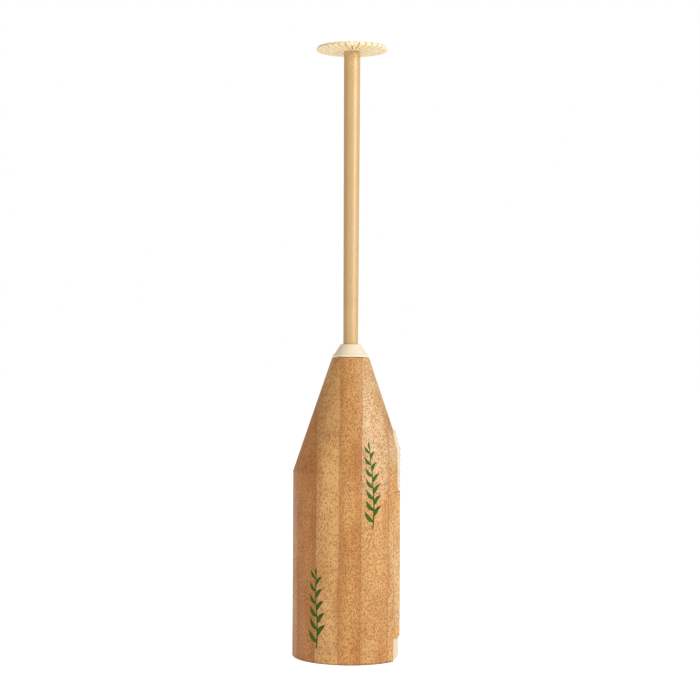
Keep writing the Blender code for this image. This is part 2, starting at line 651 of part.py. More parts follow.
def make_magnet(name, side):
    """A ferrite arc against one round wall of the can."""
    low = CAN_Z + (MOTOR_CAN_LEN - MAGNET_LEN) / 2
    outer = MAGNET_IN_R + MAGNET_T
    inner = MAGNET_IN_R
    bm = bmesh.new()
    bmesh.ops.create_cone(bm, cap_ends=True, segments=48,
                          radius1=outer, radius2=outer, depth=MAGNET_LEN)
    spread = MOTOR_HALF_FLAT - MOTOR_WALL - LOOSE
    keep_behind(bm, (spread, 0, 0), (1, 0, 0))
    keep_behind(bm, (-spread, 0, 0), (-1, 0, 0))
    keep_behind(bm, (0, side * LOOSE, 0), (0, -side, 0))
    magnet = place(name, to_mesh(name, bm), "ferrite", (0, 0, low + MAGNET_LEN / 2))
    hollow = rod("cut_" + name, inner, (low - BEYOND, low + MAGNET_LEN + BEYOND))
    cut(magnet, hollow)


def make_rotor():
    """The pieces that turn together, from the motor's tail to the whisk's head."""
    shaft = rod("motor_shaft", MOTOR_SHAFT_R, (MOTOR_Z - MOTOR_SHAFT_TAIL, MOTOR_SHAFT_TOP_Z),
                "steel", segments=16)
    core = rod("motor_armature", ARMATURE_R, (ARMATURE_Z, ARMATURE_Z + ARMATURE_LEN), "steel",
               segments=36)
    core_hole = rod("cut_core_hole", SHAFT_HOLE_R, (CAN_Z, CAN_TOP_Z), segments=16)
    cut(core, core_hole)
    commutator = sleeve("motor_commutator", COMMUTATOR_R, SHAFT_HOLE_R,
                        (CAN_Z - LOOSE, ARMATURE_Z - 2 * LOOSE), "copper", steps=24)
    pieces = [shaft, core, commutator]
    for turn, tag in enumerate("123"):
        angle = math.radians(90 + 120 * turn)
        centre = (SLOT_CENTRE_R * math.cos(angle), SLOT_CENTRE_R * math.sin(angle))
        z = (ARMATURE_Z - BEYOND, ARMATURE_Z + ARMATURE_LEN + BEYOND)
        slot = rod("cut_slot_" + tag, SLOT_R, z, at=centre, segments=16)
        mouth = block("cut_mouth_" + tag, (-BEYOND, BEYOND), (-SLOT_MOUTH / 2, SLOT_MOUTH / 2), z)
        mouth.location.x = (SLOT_CENTRE_R + BEYOND) * math.cos(angle)
        mouth.location.y = (SLOT_CENTRE_R + BEYOND) * math.sin(angle)
        mouth.rotation_euler.z = angle
        winding = rod("motor_winding_" + tag, SLOT_R - FIT,
                      (ARMATURE_Z - LOOSE, ARMATURE_Z + ARMATURE_LEN + LOOSE), "copper",
                      at=centre, segments=16)
        cut(core, slot, mouth)
        pieces.append(winding)

    coupling = sleeve("shaft_coupling", COUPLING_R, SHAFT_HOLE_R,
                      (COUPLING_Z, COUPLING_TOP_Z), "white_plastic")
    rod_z = (MOTOR_SHAFT_TOP_Z + FIT, SHAFT_TOP_Z - HEAD_SPIGOT_LEN - FIT)
    drive_rod = rod("drive_rod", ROD_R, rod_z, "steel", segments=16)
    socket_z = SHAFT_TOP_Z - HEAD_SPIGOT_LEN
    stick = turned("whisk_shaft", [
        (SHAFT_R_TOP, SHAFT_TOP_Z),
        (SHAFT_R_LOW, NOSE_TOP_Z),
        (SHAFT_R_LOW, SHAFT_Z),
        (ROD_R + FIT, SHAFT_Z),
        (ROD_R + FIT, socket_z),
        (HEAD_SPIGOT_R + FIT, socket_z),
        (HEAD_SPIGOT_R + FIT, SHAFT_TOP_Z),
    ], "shaft_plastic", steps=32, ring=True)
    pieces += [coupling, drive_rod, stick, make_head()]
    axis = pivot("whisk_axis", Vector((0, 0, MOTOR_Z)))
    carry(axis, pieces)


def make_head():
    """The slotted disc, with a spigot that goes down into the shaft."""
    head = turned("whisk_head", [
        (0, OVERALL_H),
        (HEAD_TOP_R, OVERALL_H),
        (HEAD_R, HEAD_BOTTOM_Z + HEAD_RIM_RISE),
        (HEAD_UNDER_R, HEAD_BOTTOM_Z),
        (HEAD_SPIGOT_R, HEAD_BOTTOM_Z),
        (HEAD_SPIGOT_R, HEAD_BOTTOM_Z - HEAD_SPIGOT_LEN),
        (0, HEAD_BOTTOM_Z - HEAD_SPIGOT_LEN),
    ], "cream_plastic", steps=HEAD_TEETH)
    slots = bmesh.new()
    middle = (HEAD_HUB_R + HEAD_R + BEYOND) / 2
    length = HEAD_R + BEYOND - HEAD_HUB_R
    for tooth in range(HEAD_TEETH):
        made = bmesh.ops.create_cube(slots, size=1.0)["verts"]
        bmesh.ops.scale(slots, vec=(length, HEAD_SLOT_W, BEYOND), verts=made)
        bmesh.ops.translate(slots, vec=(middle, 0, 0), verts=made)
        bmesh.ops.rotate(slots, cent=(0, 0, 0), verts=made,
                         matrix=Matrix.Rotation(2 * math.pi * tooth / HEAD_TEETH, 3, "Z"))
    tool = place("cut_head_slots", to_mesh("cut_head_slots", slots), None,
                 (0, 0, OVERALL_H - HEAD_T / 2))
    cut(head, tool)
    return head


# ---------------------------------------------------------------- switch

def make_switch_plate():
    plate = turned("switch_plate", handle_profile(PLATE_PROUD), "cream_plastic", steps=64)
    outline = block("trim_plate", (PLATE_BACK_X, PLATE_FACE_X), (-PLATE_HALF_Y, PLATE_HALF_Y),
                    (OPENING_TOP_Z, PLATE_TOP_Z + BEYOND))
    recess_y = SLIDER_HALF_Y + FIT
    recess = block("cut_slider_recess", (SLIDER_BACK_X - FIT, HANDLE_R + BEYOND),
                   (-recess_y, recess_y), (OPENING_TOP_Z - BEYOND, RECESS_TOP_Z))
    slot_y = STEM_HALF_Y + FIT
    slot = block("cut_stem_slot", (PLATE_BACK_X - BEYOND, HANDLE_R + BEYOND),
                 (-slot_y, slot_y),
                 (STEM_Z - FIT, STEM_Z + STEM_LEN + SWITCH_TRAVEL + FIT))
    trim_to(plate, outline)
    cut(plate, recess, slot)


def make_slider():
    slider = block("switch_slider", (SLIDER_BACK_X, SLIDER_FACE_X),
                   (-SLIDER_HALF_Y, SLIDER_HALF_Y), (SLIDER_Z, SLIDER_Z + SLIDER_LEN),
                   "grey_plastic")
    pitch = SLIDER_LEN / SLIDER_RIBS
    for rib in range(1, SLIDER_RIBS):
        middle = SLIDER_Z + rib * pitch
        groove = block("cut_groove_%d" % rib, (SLIDER_FACE_X - RIB_DEPTH, SLIDER_FACE_X + BEYOND),
                       (-SLIDER_HALF_Y - BEYOND, SLIDER_HALF_Y + BEYOND),
                       (middle - RIB_GROOVE / 2, middle + RIB_GROOVE / 2))
        cut(slider, groove)
    stem_z = (STEM_Z, STEM_Z + STEM_LEN)
    stem = block("add_stem", (STEM_BACK_X, SLIDER_BACK_X + FIT),
                 (-STEM_HALF_Y, STEM_HALF_Y), stem_z)
    foot = block("add_stem_foot", (STEM_BACK_X, STEM_BACK_X + STEM_FOOT_T),
                 (-STEM_FOOT_HALF_Y, STEM_FOOT_HALF_Y), stem_z)
    join(slider, stem, foot)
    wiper = block("switch_wiper", (WIPER_X, WIPER_X + CONTACT_T),
                  (-STEM_FOOT_HALF_Y, STEM_FOOT_HALF_Y), stem_z, "copper")
    track = pivot("switch_axis", Vector((SLIDER_FACE_X, 0, SLIDER_Z + SLIDER_LEN / 2)))
    carry(track, (slider, wiper))


def make_strips():
    """Two strips on the bracket: the wiper is always on one, and on the other when up."""
    x = (STRIP_X, STRIP_X + CONTACT_T)
    low = LEAD_Z - LEAD_R
    high = BRACKET_TOP_Z - LOOSE
    block("live_strip", x, (STRIP_Y - STRIP_W / 2, STRIP_Y + STRIP_W / 2), (low, high), "brass")
    pad = block("motor_strip", x, (LEG_Y - STRIP_LEG_W / 2, -STRIP_Y + STRIP_W / 2),
                (STEM_Z + STEM_LEN + LOOSE, high), "brass")
    leg = block("add_strip_leg", x, (LEG_Y - STRIP_LEG_W / 2, LEG_Y + STRIP_LEG_W / 2),
                (low, high))
    join(pad, leg)


# ---------------------------------------------------------------- nose

def make_nose():
    bore = SHAFT_R_LOW + FIT
    seat = BUSHING_OUT_R + FIT
    spigot = NOSE_BORE_R - FIT
    turned("nose_cone", [
        (bore, NOSE_TOP_Z),
        (NOSE_TOP_R, NOSE_TOP_Z),
        (NOSE_BASE_R, NOSE_Z + NOSE_FLANGE_T),
        (NOSE_FLANGE_R, NOSE_Z + NOSE_FLANGE_T),
        (NOSE_FLANGE_R, NOSE_Z),
        (spigot, NOSE_Z),
        (spigot, NOSE_Z - SPIGOT_LEN),
        (seat, NOSE_Z - SPIGOT_LEN),
        (seat, NOSE_TOP_Z - NOSE_LIP),
        (bore, NOSE_TOP_Z - NOSE_LIP),
    ], "cream_plastic", steps=48, ring=True)
    sleeve("shaft_bushing", BUSHING_OUT_R, BUSHING_IN_R,
           (BUSHING_Z, BUSHING_Z + BUSHING_LEN), "brass")


# ---------------------------------------------------------------- leads

def make_leads():
    end_x = 1.0 * MM + FIT
    terminal_y = BRUSH_Y + CONTACT_T / 2
    tab_x = 1.5 * MM + FIT
    strip_x = STRIP_X - FIT
    bend_x = BRACKET_X - 3.0 * MM
    round_wire("lead_cell_to_switch", [
        (tab_x, CELL_Y, LEAD_Z),
        (4.6 * MM, 6.4 * MM, LEAD_Z),
        (bend_x, STRIP_Y, LEAD_Z),
        (strip_x, STRIP_Y, LEAD_Z),
    ], LEAD_R, "lead_red", smooth=True)
    round_wire("lead_switch_to_motor", [
        (strip_x, LEG_Y, LEAD_Z),
        (bend_x, LEG_Y, LEAD_Z),
        (4.6 * MM, -terminal_y, LEAD_Z),
        (end_x, -terminal_y, LEAD_Z),
    ], LEAD_R, "lead_red", smooth=True)
    round_wire("lead_cell_to_motor", [
        (-tab_x, -CELL_Y, LEAD_Z),
        (-5.0 * MM, -5.5 * MM, LEAD_Z),
        (-6.2 * MM, -1.0 * MM, LEAD_Z),
        (-4.0 * MM, terminal_y, LEAD_Z),
        (-end_x, terminal_y, LEAD_Z),
    ], LEAD_R, "lead_black", smooth=True)


make_shell()
make_base()
for screw_x, screw_tag in zip(BASE_SCREW_XS, "12"):
    make_screw("base_screw_" + screw_tag, (screw_x, 0),
               (FIT / 2, CHASSIS_Z + BASE_SCREW_BITE), head_up=False)
for screw_side, screw_tag in ((1, "1"), (-1, "2")):
    make_screw("chassis_screw_" + screw_tag, (LONG_SCREW_X, screw_side * LONG_SCREW_Y),
               (BAY_TOP_Z - FIT - SCREW_HEAD_T, MOTOR_FLOOR_Z + LONG_SCREW_BITE),
               head_up=False)
make_chassis()
make_cell("battery_cell_1", 1, CELL_HIGH_Z, nub_up=True)
make_cell("battery_cell_2", -1, CELL_LOW_Z, nub_up=False)
make_contacts()
make_door()
make_motor()
make_rotor()
make_switch_plate()
make_slider()
make_strips()
make_nose()
make_leads()
bpy.context.view_layer.update()
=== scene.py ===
# %% [markdown]
# # Electric matcha whisk: the finished look
#
# A laminated bamboo handle holds two cells and a small motor. A long glossy shaft stands on
# top of it and turns a thin disc with 32 teeth. The mechanical model already says where every
# piece is. This file gives the pieces that can be seen their fine shape and their materials.
#
# The handle stands on its base at z = 0 and +X is its flat side, with the switch and the door.

import math

import bmesh
import bpy
from mathutils import Matrix, Vector


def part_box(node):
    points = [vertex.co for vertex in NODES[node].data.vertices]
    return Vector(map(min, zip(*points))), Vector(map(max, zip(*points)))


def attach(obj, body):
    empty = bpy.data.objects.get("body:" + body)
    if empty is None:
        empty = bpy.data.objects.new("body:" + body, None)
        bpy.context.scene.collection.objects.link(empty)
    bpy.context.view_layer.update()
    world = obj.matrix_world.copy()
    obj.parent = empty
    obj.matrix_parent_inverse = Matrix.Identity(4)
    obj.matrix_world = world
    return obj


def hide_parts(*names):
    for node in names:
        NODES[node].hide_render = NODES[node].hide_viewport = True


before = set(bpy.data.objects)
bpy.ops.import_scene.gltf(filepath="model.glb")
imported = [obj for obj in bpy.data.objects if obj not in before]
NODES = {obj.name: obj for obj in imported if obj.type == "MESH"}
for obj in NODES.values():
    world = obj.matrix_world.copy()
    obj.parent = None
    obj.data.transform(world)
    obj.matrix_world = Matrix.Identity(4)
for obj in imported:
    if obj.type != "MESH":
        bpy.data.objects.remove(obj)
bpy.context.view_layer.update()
MM = 0.001

# %% [markdown]
# ## Sizes read from the frame
#
# The pieces have to sit where the mechanical model has them, so the main sizes are read from
# the boxes of its nodes. Only the small shapes that the boxes can't tell, such as a rounding,
# are given here.

# %% Main sizes
shell_low, shell_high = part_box("bamboo_shell")
door_low, door_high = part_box("battery_door")
liner_low, liner_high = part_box("door_liner")
plate_low, plate_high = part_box("switch_plate")
base_low, base_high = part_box("base_plate")

HANDLE_R = -shell_low.x
WOOD_TOP_Z = shell_high.z
WOOD_TOP_R = 6.6 * MM
FLAT_X = shell_high.x
PARTING_X = liner_high.x
DOOR_TOP_Z = door_high.z
SHOULDER_Z = DOOR_TOP_Z + 6.8 * MM
CONE_SLOPE = (HANDLE_R - WOOD_TOP_R) / (WOOD_TOP_Z - SHOULDER_Z)
CAVITY_R = -base_low.x + 0.3 * MM
GAP = 0.3 * MM
SEAM = 0.04 * MM
ROUND_STEPS = 144
print("handle radius", round(HANDLE_R / MM, 2), "flat at", round(FLAT_X / MM, 2),
      "parting plane", round(PARTING_X / MM, 2), "shoulder", round(SHOULDER_Z / MM, 2))


def outline_radius(z):
    """The handle's radius at a height."""
    return HANDLE_R - CONE_SLOPE * max(0.0, z - SHOULDER_Z)


# %% [markdown]
# ## Shader groups
#
# Three effects come back in several finishes, so each is a node group with named inputs:
# a soft mottling for moulded plastic, a fine directional brushing for metal, and the
# laminated bamboo. A group only gives colours, masks and heights. The shader itself stays in
# the material.


# %% Node helpers
def srgb(red, green, blue):
    """A colour as a painter names it, 0 to 255, turned into the shader's linear values."""
    linear = []
    for part in (red, green, blue):
        share = part / 255
        linear.append(share / 12.92 if share <= 0.04045 else ((share + 0.055) / 1.055) ** 2.4)
    return (*linear, 1.0)


class Wiring:
    """Adds nodes to one tree and joins them."""

    def __init__(self, tree):
        self.tree = tree

    def node(self, kind, settings=None, **values):
        """A node with its settings, and values or links for its inputs by name."""
        made = self.tree.nodes.new("ShaderNode" + kind)
        for name, value in (settings or {}).items():
            setattr(made, name, value)
        for name, value in values.items():
            self.feed(made.inputs[name.replace("_", " ")], value)
        return made

    def feed(self, socket, value):
        if isinstance(value, bpy.types.NodeSocket):
            self.tree.links.new(value, socket)
        else:
            socket.default_value = value

    def math(self, operation, *values):
        made = self.tree.nodes.new("ShaderNodeMath")
        made.operation = operation
        for socket, value in zip(made.inputs, values):
            self.feed(socket, value)
        return made.outputs[0]

    def mix(self, share, first, second, blend="MIX"):
        made = self.tree.nodes.new("ShaderNodeMix")
        made.data_type = "RGBA"
        made.blend_type = blend
        for place, value in ((0, share), (6, first), (7, second)):
            self.feed(made.inputs[place], value)
        return made.outputs[2]

    def ramp(self, share, stops, interpolation="LINEAR"):
        """A colour ramp from (place, colour) stops. A plain number stands for a grey."""
        made = self.tree.nodes.new("ShaderNodeValToRGB")
        band = made.color_ramp
        band.interpolation = interpolation
        while len(band.elements) < len(stops):
            band.elements.new(0.5)
        for element, (place, colour) in zip(band.elements, stops):
            element.position = place
            element.color = colour if isinstance(colour, tuple) else (colour,) * 3 + (1.0,)
        self.feed(made.inputs[0], share)
        return made.outputs[0]

    def scaled(self, vector, x, y, z):
        made = self.tree.nodes.new("ShaderNodeVectorMath")
        made.operation = "MULTIPLY"
        self.feed(made.inputs[0], vector)
        made.inputs[1].default_value = (x, y, z)
        return made.outputs[0]


def new_group(name, inputs, outputs):
    """An empty node group with its sockets, and the two ends of its wiring."""
    tree = bpy.data.node_groups.new(name, "ShaderNodeTree")
    for title, kind, value in inputs:
        socket = tree.interface.new_socket(title, in_out="INPUT", socket_type=kind)
        if value is not None:
            socket.default_value = value
    for title, kind in outputs:
        tree.interface.new_socket(title, in_out="OUTPUT", socket_type=kind)
    start = tree.nodes.new("NodeGroupInput")
    end = tree.nodes.new("NodeGroupOutput")
    return tree, Wiring(tree), start.outputs, end.inputs


# %% [markdown]
# ### Laminated bamboo
#
# The handle is turned from a block of upright bamboo strips glued side by side. Every strip
# has its own tone. On its face the cut fibre bundles show as short brown dashes, close
# together in some strips and sparse in others. A growth node crosses a strip here and there
# as a darker band. The strips are planes across X, so the pattern reads Object coordinates
# and runs straight through the cone, the flat side and the door.

# %% Bamboo group
STRIP_EDGES = [x * MM for x in (-18.7, -12.1, -3.8, 3.9, 13.6)]
LOWER_TONES = [
    srgb(238, 188, 116),
    srgb(222, 156, 80),
    srgb(246, 200, 126),
    srgb(232, 182, 106),
    srgb(234, 188, 116),
    srgb(252, 216, 156),
]
# Above their growth nodes the two right-hand strips are much lighter. This is partly the strips'
# own change of tone and partly a painted highlight, where the key light from the right falls on the
# upper handle and the cone.
UPPER_TONES_AND_HIGHLIGHT = [
    srgb(238, 188, 116),
    srgb(224, 160, 82),
    srgb(244, 198, 128),
    srgb(228, 178, 106),
    srgb(254, 226, 176),
    srgb(254, 228, 182),
]
GROWTH_NODES = [z * MM for z in (34, 48, 71, 55, 59, 64)]
STRIP_SPECKLE = [0.60, 0.85, 0.55, 1.05, 0.90, 0.70]
FIBRE_SPACING = 0.66 * MM
FIBRE_BROWN = srgb(142, 74, 0)
GLUE_HALF_WIDTH = 0.09 * MM
NODE_SPACING = 74 * MM


def strip_stops(values):
    """Ramp stops that give each strip across X its own value."""
    places = [0.0] + [(edge + HANDLE_R) / (2 * HANDLE_R) for edge in STRIP_EDGES]
    return list(zip(places, values))


def make_bamboo_group():
    tree, w, given, out = new_group(
        "laminated_bamboo",
        [("Position", "NodeSocketVector", None)],
        [("Color", "NodeSocketColor"), ("Roughness", "NodeSocketFloat"),
         ("Height", "NodeSocketFloat")])
    place = given["Position"]

    sway = w.node("TexNoise", Vector=w.scaled(place, 30, 30, 14), Scale=1.0, Detail=1.0)
    axes = w.node("SeparateXYZ", Vector=place).outputs
    bend = w.math("MULTIPLY", w.math("SUBTRACT", sway.outputs["Fac"], 0.5), 1.1 * MM)
    across = w.math("ADD", axes["X"], bend)
    share = w.math("MULTIPLY_ADD", across, 0.5 / HANDLE_R, 0.5)

    node_z = w.ramp(share, strip_stops([z / 0.1 for z in GROWTH_NODES]), "CONSTANT")
    over = w.math("SUBTRACT", axes["Z"], w.math("MULTIPLY", node_z, 0.1))
    uneven = w.math("MULTIPLY", w.math("SUBTRACT", sway.outputs["Fac"], 0.5), 9 * MM)
    above = w.math("MULTIPLY_ADD", w.math("ADD", over, uneven), 1 / (6 * MM), 0.5)
    above.node.use_clamp = True
    # Lower tone below each strip's node and upper tone above it. On the right-hand strips the upper
    # tone also holds a painted highlight.
    tone = w.mix(above, w.ramp(share, strip_stops(LOWER_TONES), "CONSTANT"),
                 w.ramp(share, strip_stops(UPPER_TONES_AND_HIGHLIGHT), "CONSTANT"))
    speckle = w.ramp(share, strip_stops(STRIP_SPECKLE), "CONSTANT")
    number = w.ramp(share, strip_stops([k / 6 + 0.05 for k in range(6)]), "CONSTANT")

    # Slow changes of tone, different in each strip
    shifted = w.node("CombineXYZ", X=w.math("MULTIPLY", number, 7.0), Y=0.0, Z=0.0).outputs[0]
    slow_place = w.node("VectorMath", {"operation": "ADD"}).outputs[0]
    w.feed(slow_place.node.inputs[0], w.scaled(place, 70, 70, 26))
    w.feed(slow_place.node.inputs[1], shifted)
    slow = w.node("TexNoise", Vector=slow_place, Scale=1.0, Detail=3.0, Roughness=0.6)
    patch = w.ramp(slow.outputs["Fac"], [(0.32, 0.0), (0.68, 1.0)])
    colour = w.mix(patch, srgb(216, 194, 166), srgb(255, 255, 255))
    colour = w.mix(1.0, tone, colour, "MULTIPLY")
    red_patch = w.ramp(slow.outputs["Fac"], [(0.52, 0.0), (0.72, 0.42)])
    colour = w.mix(red_patch, colour, w.mix(1.0, tone, srgb(214, 178, 150), "MULTIPLY"))

    # Warm stains, broad and soft, where the strips were steamed
    stain = w.node("TexNoise", Vector=w.scaled(slow_place, 1.9, 1.9, 1.5), Scale=1.0, Detail=2.0)
    stained = w.ramp(stain.outputs["Fac"], [(0.47, 0.0), (0.66, 0.62)])
    colour = w.mix(stained, colour, w.mix(1.0, tone, srgb(206, 168, 118), "MULTIPLY"))

    # Growth nodes: one dark band in each strip at its own height
    along = w.math("ADD", w.math("DIVIDE", axes["Z"], NODE_SPACING),
                   w.math("MULTIPLY", number, 3.7))
    wave = w.math("MULTIPLY", w.math("SUBTRACT", sway.outputs["Fac"], 0.5), 0.05)
    turn = w.math("FRACT", w.math("ADD", along, wave))
    band = w.ramp(turn, [(0.0, 0.0), (0.44, 0.0), (0.485, 0.55), (0.50, 1.0),
                         (0.512, 0.15), (0.60, 0.0)])
    colour = w.mix(w.math("MULTIPLY", band, 0.34), colour, srgb(150, 92, 48))
    step_tone = w.ramp(turn, [(0.0, 0.10), (0.5, 0.0), (0.505, 0.16), (1.0, 0.10)])
    colour = w.mix(step_tone, colour, srgb(176, 118, 66))

    # Fine straight grain
    grain = w.node("TexNoise", Vector=w.scaled(place, 2400, 2400, 60), Scale=1.0, Detail=2.0)
    streak = w.ramp(grain.outputs["Fac"], [(0.35, 0.0), (0.65, 1.0)])
    colour = w.mix(w.math("MULTIPLY", streak, 0.16), colour, srgb(168, 112, 62))

    # Cut fibre bundles
    pitch = 1 / FIBRE_SPACING
    density = w.node("TexNoise", Vector=w.scaled(place, 130, 130, 45), Scale=1.0, Detail=2.0)
    wanted = w.math("MULTIPLY", speckle, w.math("MULTIPLY_ADD", density.outputs["Fac"], 3.6, -0.50))
    dots = 0.0
    for size, pace in ((1.0, 0.62), (1.55, 0.70)):
        cells = w.node("TexVoronoi", Vector=w.scaled(place, pitch * size, pitch * size,
                                                     pitch * size * pace), Scale=1.0)
        chance = w.node("SeparateColor", Color=cells.outputs["Color"]).outputs[0]
        kept = w.math("LESS_THAN", chance, wanted)
        round_dot = w.ramp(cells.outputs["Distance"], [(0.20, 1.0), (0.50, 0.0)])
        dots = w.math("MAXIMUM", dots, w.math("MULTIPLY", round_dot, kept))
    colour = w.mix(w.math("MULTIPLY", dots, 0.78), colour, FIBRE_BROWN)

    # Glue lines between the strips, with the wood darker beside them
    line = 0.0
    beside = 0.0
    for edge in STRIP_EDGES:
        away = w.math("ABSOLUTE", w.math("SUBTRACT", across, edge))
        near = w.math("SUBTRACT", 1.0, w.math("DIVIDE", away, 2.5 * GLUE_HALF_WIDTH))
        line = w.math("MAXIMUM", line, near)
        close = w.math("SUBTRACT", 1.0, w.math("DIVIDE", away, 3.0 * MM))
        beside = w.math("MAXIMUM", beside, close)
    edge_stain = w.math("MULTIPLY", beside,
                        w.ramp(slow.outputs["Fac"], [(0.42, 0.0), (0.62, 0.55)]))
    colour = w.mix(edge_stain, colour, srgb(166, 100, 42))
    colour = w.mix(w.math("MULTIPLY", line, 0.55), colour, srgb(140, 84, 42))

    # Painted contact shadow: the wood is darkened along its lower edge, where the handle stands on
    # the floor
    painted_contact_shadow = w.math("SUBTRACT", 1.0, w.math("DIVIDE", axes["Z"], 0.75 * MM))
    painted_contact_shadow.node.use_clamp = True
    colour = w.mix(w.math("MULTIPLY", painted_contact_shadow, 0.75), colour, srgb(92, 54, 26))

    w.feed(out["Color"], colour)
    rough = w.math("ADD", w.math("MULTIPLY", dots, 0.14), w.math("MULTIPLY", streak, 0.07))
    w.feed(out["Roughness"], w.math("ADD", rough, 0.44))
    dip = w.math("ADD", w.math("MULTIPLY", dots, -0.6), w.math("MULTIPLY", streak, -0.25))
    w.feed(out["Height"], w.math("SUBTRACT", dip, w.math("MULTIPLY", line, 0.5)))
    return tree


bamboo_group = make_bamboo_group()
print("bamboo:", len(LOWER_TONES), "strips,", len(bamboo_group.nodes), "nodes")

# %% [markdown]
# ### Moulded plastic and brushed metal
#
# Moulded plastic looks flat and false in one even colour. Real mouldings have a slight
# mottling, faint flow clouds and a fine spark-eroded skin from the mould. Drawn and plated
# metal has fine lines along one direction instead, which the second group stretches noise for.


# %% Plastic and metal groups
def make_mould_group():
    tree, w, given, out = new_group(
        "moulded_skin",
        [("Position", "NodeSocketVector", None), ("Color", "NodeSocketColor", (1, 1, 1, 1)),
         ("Shade", "NodeSocketColor", (0, 0, 0, 1)), ("Roughness", "NodeSocketFloat", 0.4)],
        [("Color", "NodeSocketColor"), ("Roughness", "NodeSocketFloat"),
         ("Height", "NodeSocketFloat")])
    place = given["Position"]
    cloud = w.node("TexNoise", Vector=place, Scale=140.0, Detail=3.0)
    skin = w.node("TexNoise", Vector=place, Scale=5200.0, Detail=2.0)
    share = w.ramp(cloud.outputs["Fac"], [(0.35, 0.0), (0.70, 0.55)])
    w.feed(out["Color"], w.mix(share, given["Color"], given["Shade"]))
    swing = w.math("MULTIPLY", w.math("SUBTRACT", cloud.outputs["Fac"], 0.5), 0.16)
    w.feed(out["Roughness"], w.math("ADD", given["Roughness"], swing))
    w.feed(out["Height"], skin.outputs["Fac"])
    return tree


def make_brushed_group():
    tree, w, given, out = new_group(
        "drawn_metal",
        [("Position", "NodeSocketVector", None), ("Color", "NodeSocketColor", (1, 1, 1, 1)),
         ("Stain", "NodeSocketColor", (0, 0, 0, 1)), ("Roughness", "NodeSocketFloat", 0.3)],
        [("Color", "NodeSocketColor"), ("Roughness", "NodeSocketFloat"),
         ("Height", "NodeSocketFloat")])
    place = given["Position"]
    lines = w.node("TexNoise", Vector=w.scaled(place, 5000, 5000, 260), Scale=1.0, Detail=2.0)
    haze = w.node("TexNoise", Vector=place, Scale=260.0, Detail=3.0)
    share = w.ramp(haze.outputs["Fac"], [(0.45, 0.0), (0.75, 0.5)])
    w.feed(out["Color"], w.mix(share, given["Color"], given["Stain"]))
    swing = w.math("MULTIPLY", w.math("SUBTRACT", lines.outputs["Fac"], 0.5), 0.35)
    w.feed(out["Roughness"], w.math("ADD", given["Roughness"], swing))
    w.feed(out["Height"], lines.outputs["Fac"])
    return tree


mould_group = make_mould_group()
brushed_group = make_brushed_group()
print("groups:", [group.name for group in bpy.data.node_groups])


# %% Materials from the groups
def finish_material(name, group, depth, values=None, fixed=None):
    """A material whose colour, roughness and bump come from a group."""
    material = bpy.data.materials.new(name)
    material.use_nodes = True
    w = Wiring(material.node_tree)
    shader = material.node_tree.nodes["Principled BSDF"]
    place = w.node("TexCoord").outputs["Object"]
    effect = w.node("Group")
    effect.node_tree = group
    w.feed(effect.inputs["Position"], place)
    for title, value in (values or {}).items():
        effect.inputs[title].default_value = value
    bump = w.node("Bump", Strength=0.35, Distance=depth, Height=effect.outputs["Height"])
    w.feed(shader.inputs["Base Color"], effect.outputs["Color"])
    w.feed(shader.inputs["Roughness"], effect.outputs["Roughness"])
    w.feed(shader.inputs["Normal"], bump.outputs["Normal"])
    for title, value in (fixed or {}).items():
        shader.inputs[title].default_value = value
    return material


def plastic(name, colour, shade, roughness, fixed=None, depth=0.012 * MM):
    return finish_material(name, mould_group, depth,
                           {"Color": colour, "Shade": shade, "Roughness": roughness}, fixed)


def metal(name, colour, stain, roughness):
    return finish_material(name, brushed_group, 0.006 * MM,
                           {"Color": colour, "Stain": stain, "Roughness": roughness},
                           {"Metallic": 1.0})


FINISH = {
    "bamboo": finish_material("bamboo", bamboo_group, 0.05 * MM,
                              fixed={"Coat Weight": 0.12, "Coat Roughness": 0.35}),
    "cream_plastic": plastic("cream_plastic", srgb(243, 226, 198), srgb(235, 215, 183), 0.42),
    # The base is the same cream plastic as the nose and the switch plate. This darker copy is
    # painted shade that tones down the foot, which faces the key light.
    "cream_painted_shade": plastic("cream_painted_shade", srgb(222, 203, 172), srgb(214, 193, 160), 0.42),
    "head_plastic": plastic("head_plastic", srgb(252, 232, 188), srgb(249, 226, 178), 0.46,
                            depth=0.002 * MM),
    "shaft_plastic": plastic("shaft_plastic", srgb(202, 164, 104), srgb(195, 155, 94), 0.45,
                             {"Specular IOR Level": 1.0}, depth=0.001 * MM),
    "grey_plastic": plastic("grey_plastic", srgb(224, 220, 210), srgb(213, 208, 197), 0.45),
    "white_plastic": plastic("white_plastic", srgb(232, 230, 222), srgb(220, 216, 206), 0.45),
    "steel": metal("steel", srgb(200, 200, 204), srgb(160, 158, 156), 0.30),
    "brass": metal("brass", srgb(226, 192, 120), srgb(176, 136, 74), 0.34),
    "copper": metal("copper", srgb(214, 142, 98), srgb(150, 84, 52), 0.36),
    "ferrite": plastic("ferrite", srgb(52, 52, 56), srgb(74, 72, 72), 0.72),
    "lead_red": plastic("lead_red", srgb(190, 42, 34), srgb(160, 30, 26), 0.42),
    "lead_black": plastic("lead_black", srgb(34, 34, 36), srgb(48, 48, 50), 0.42),
}
print("finishes:", sorted(FINISH))

# %% [markdown]
# ### The cell sleeves
#
# The real cells wear a printed plastic sleeve. A plain two-colour sleeve says "battery"
# without any maker's print: a dark body and a copper band at the raised end. The band is read
# from the height above the cell's middle, so each cell gets its own material.


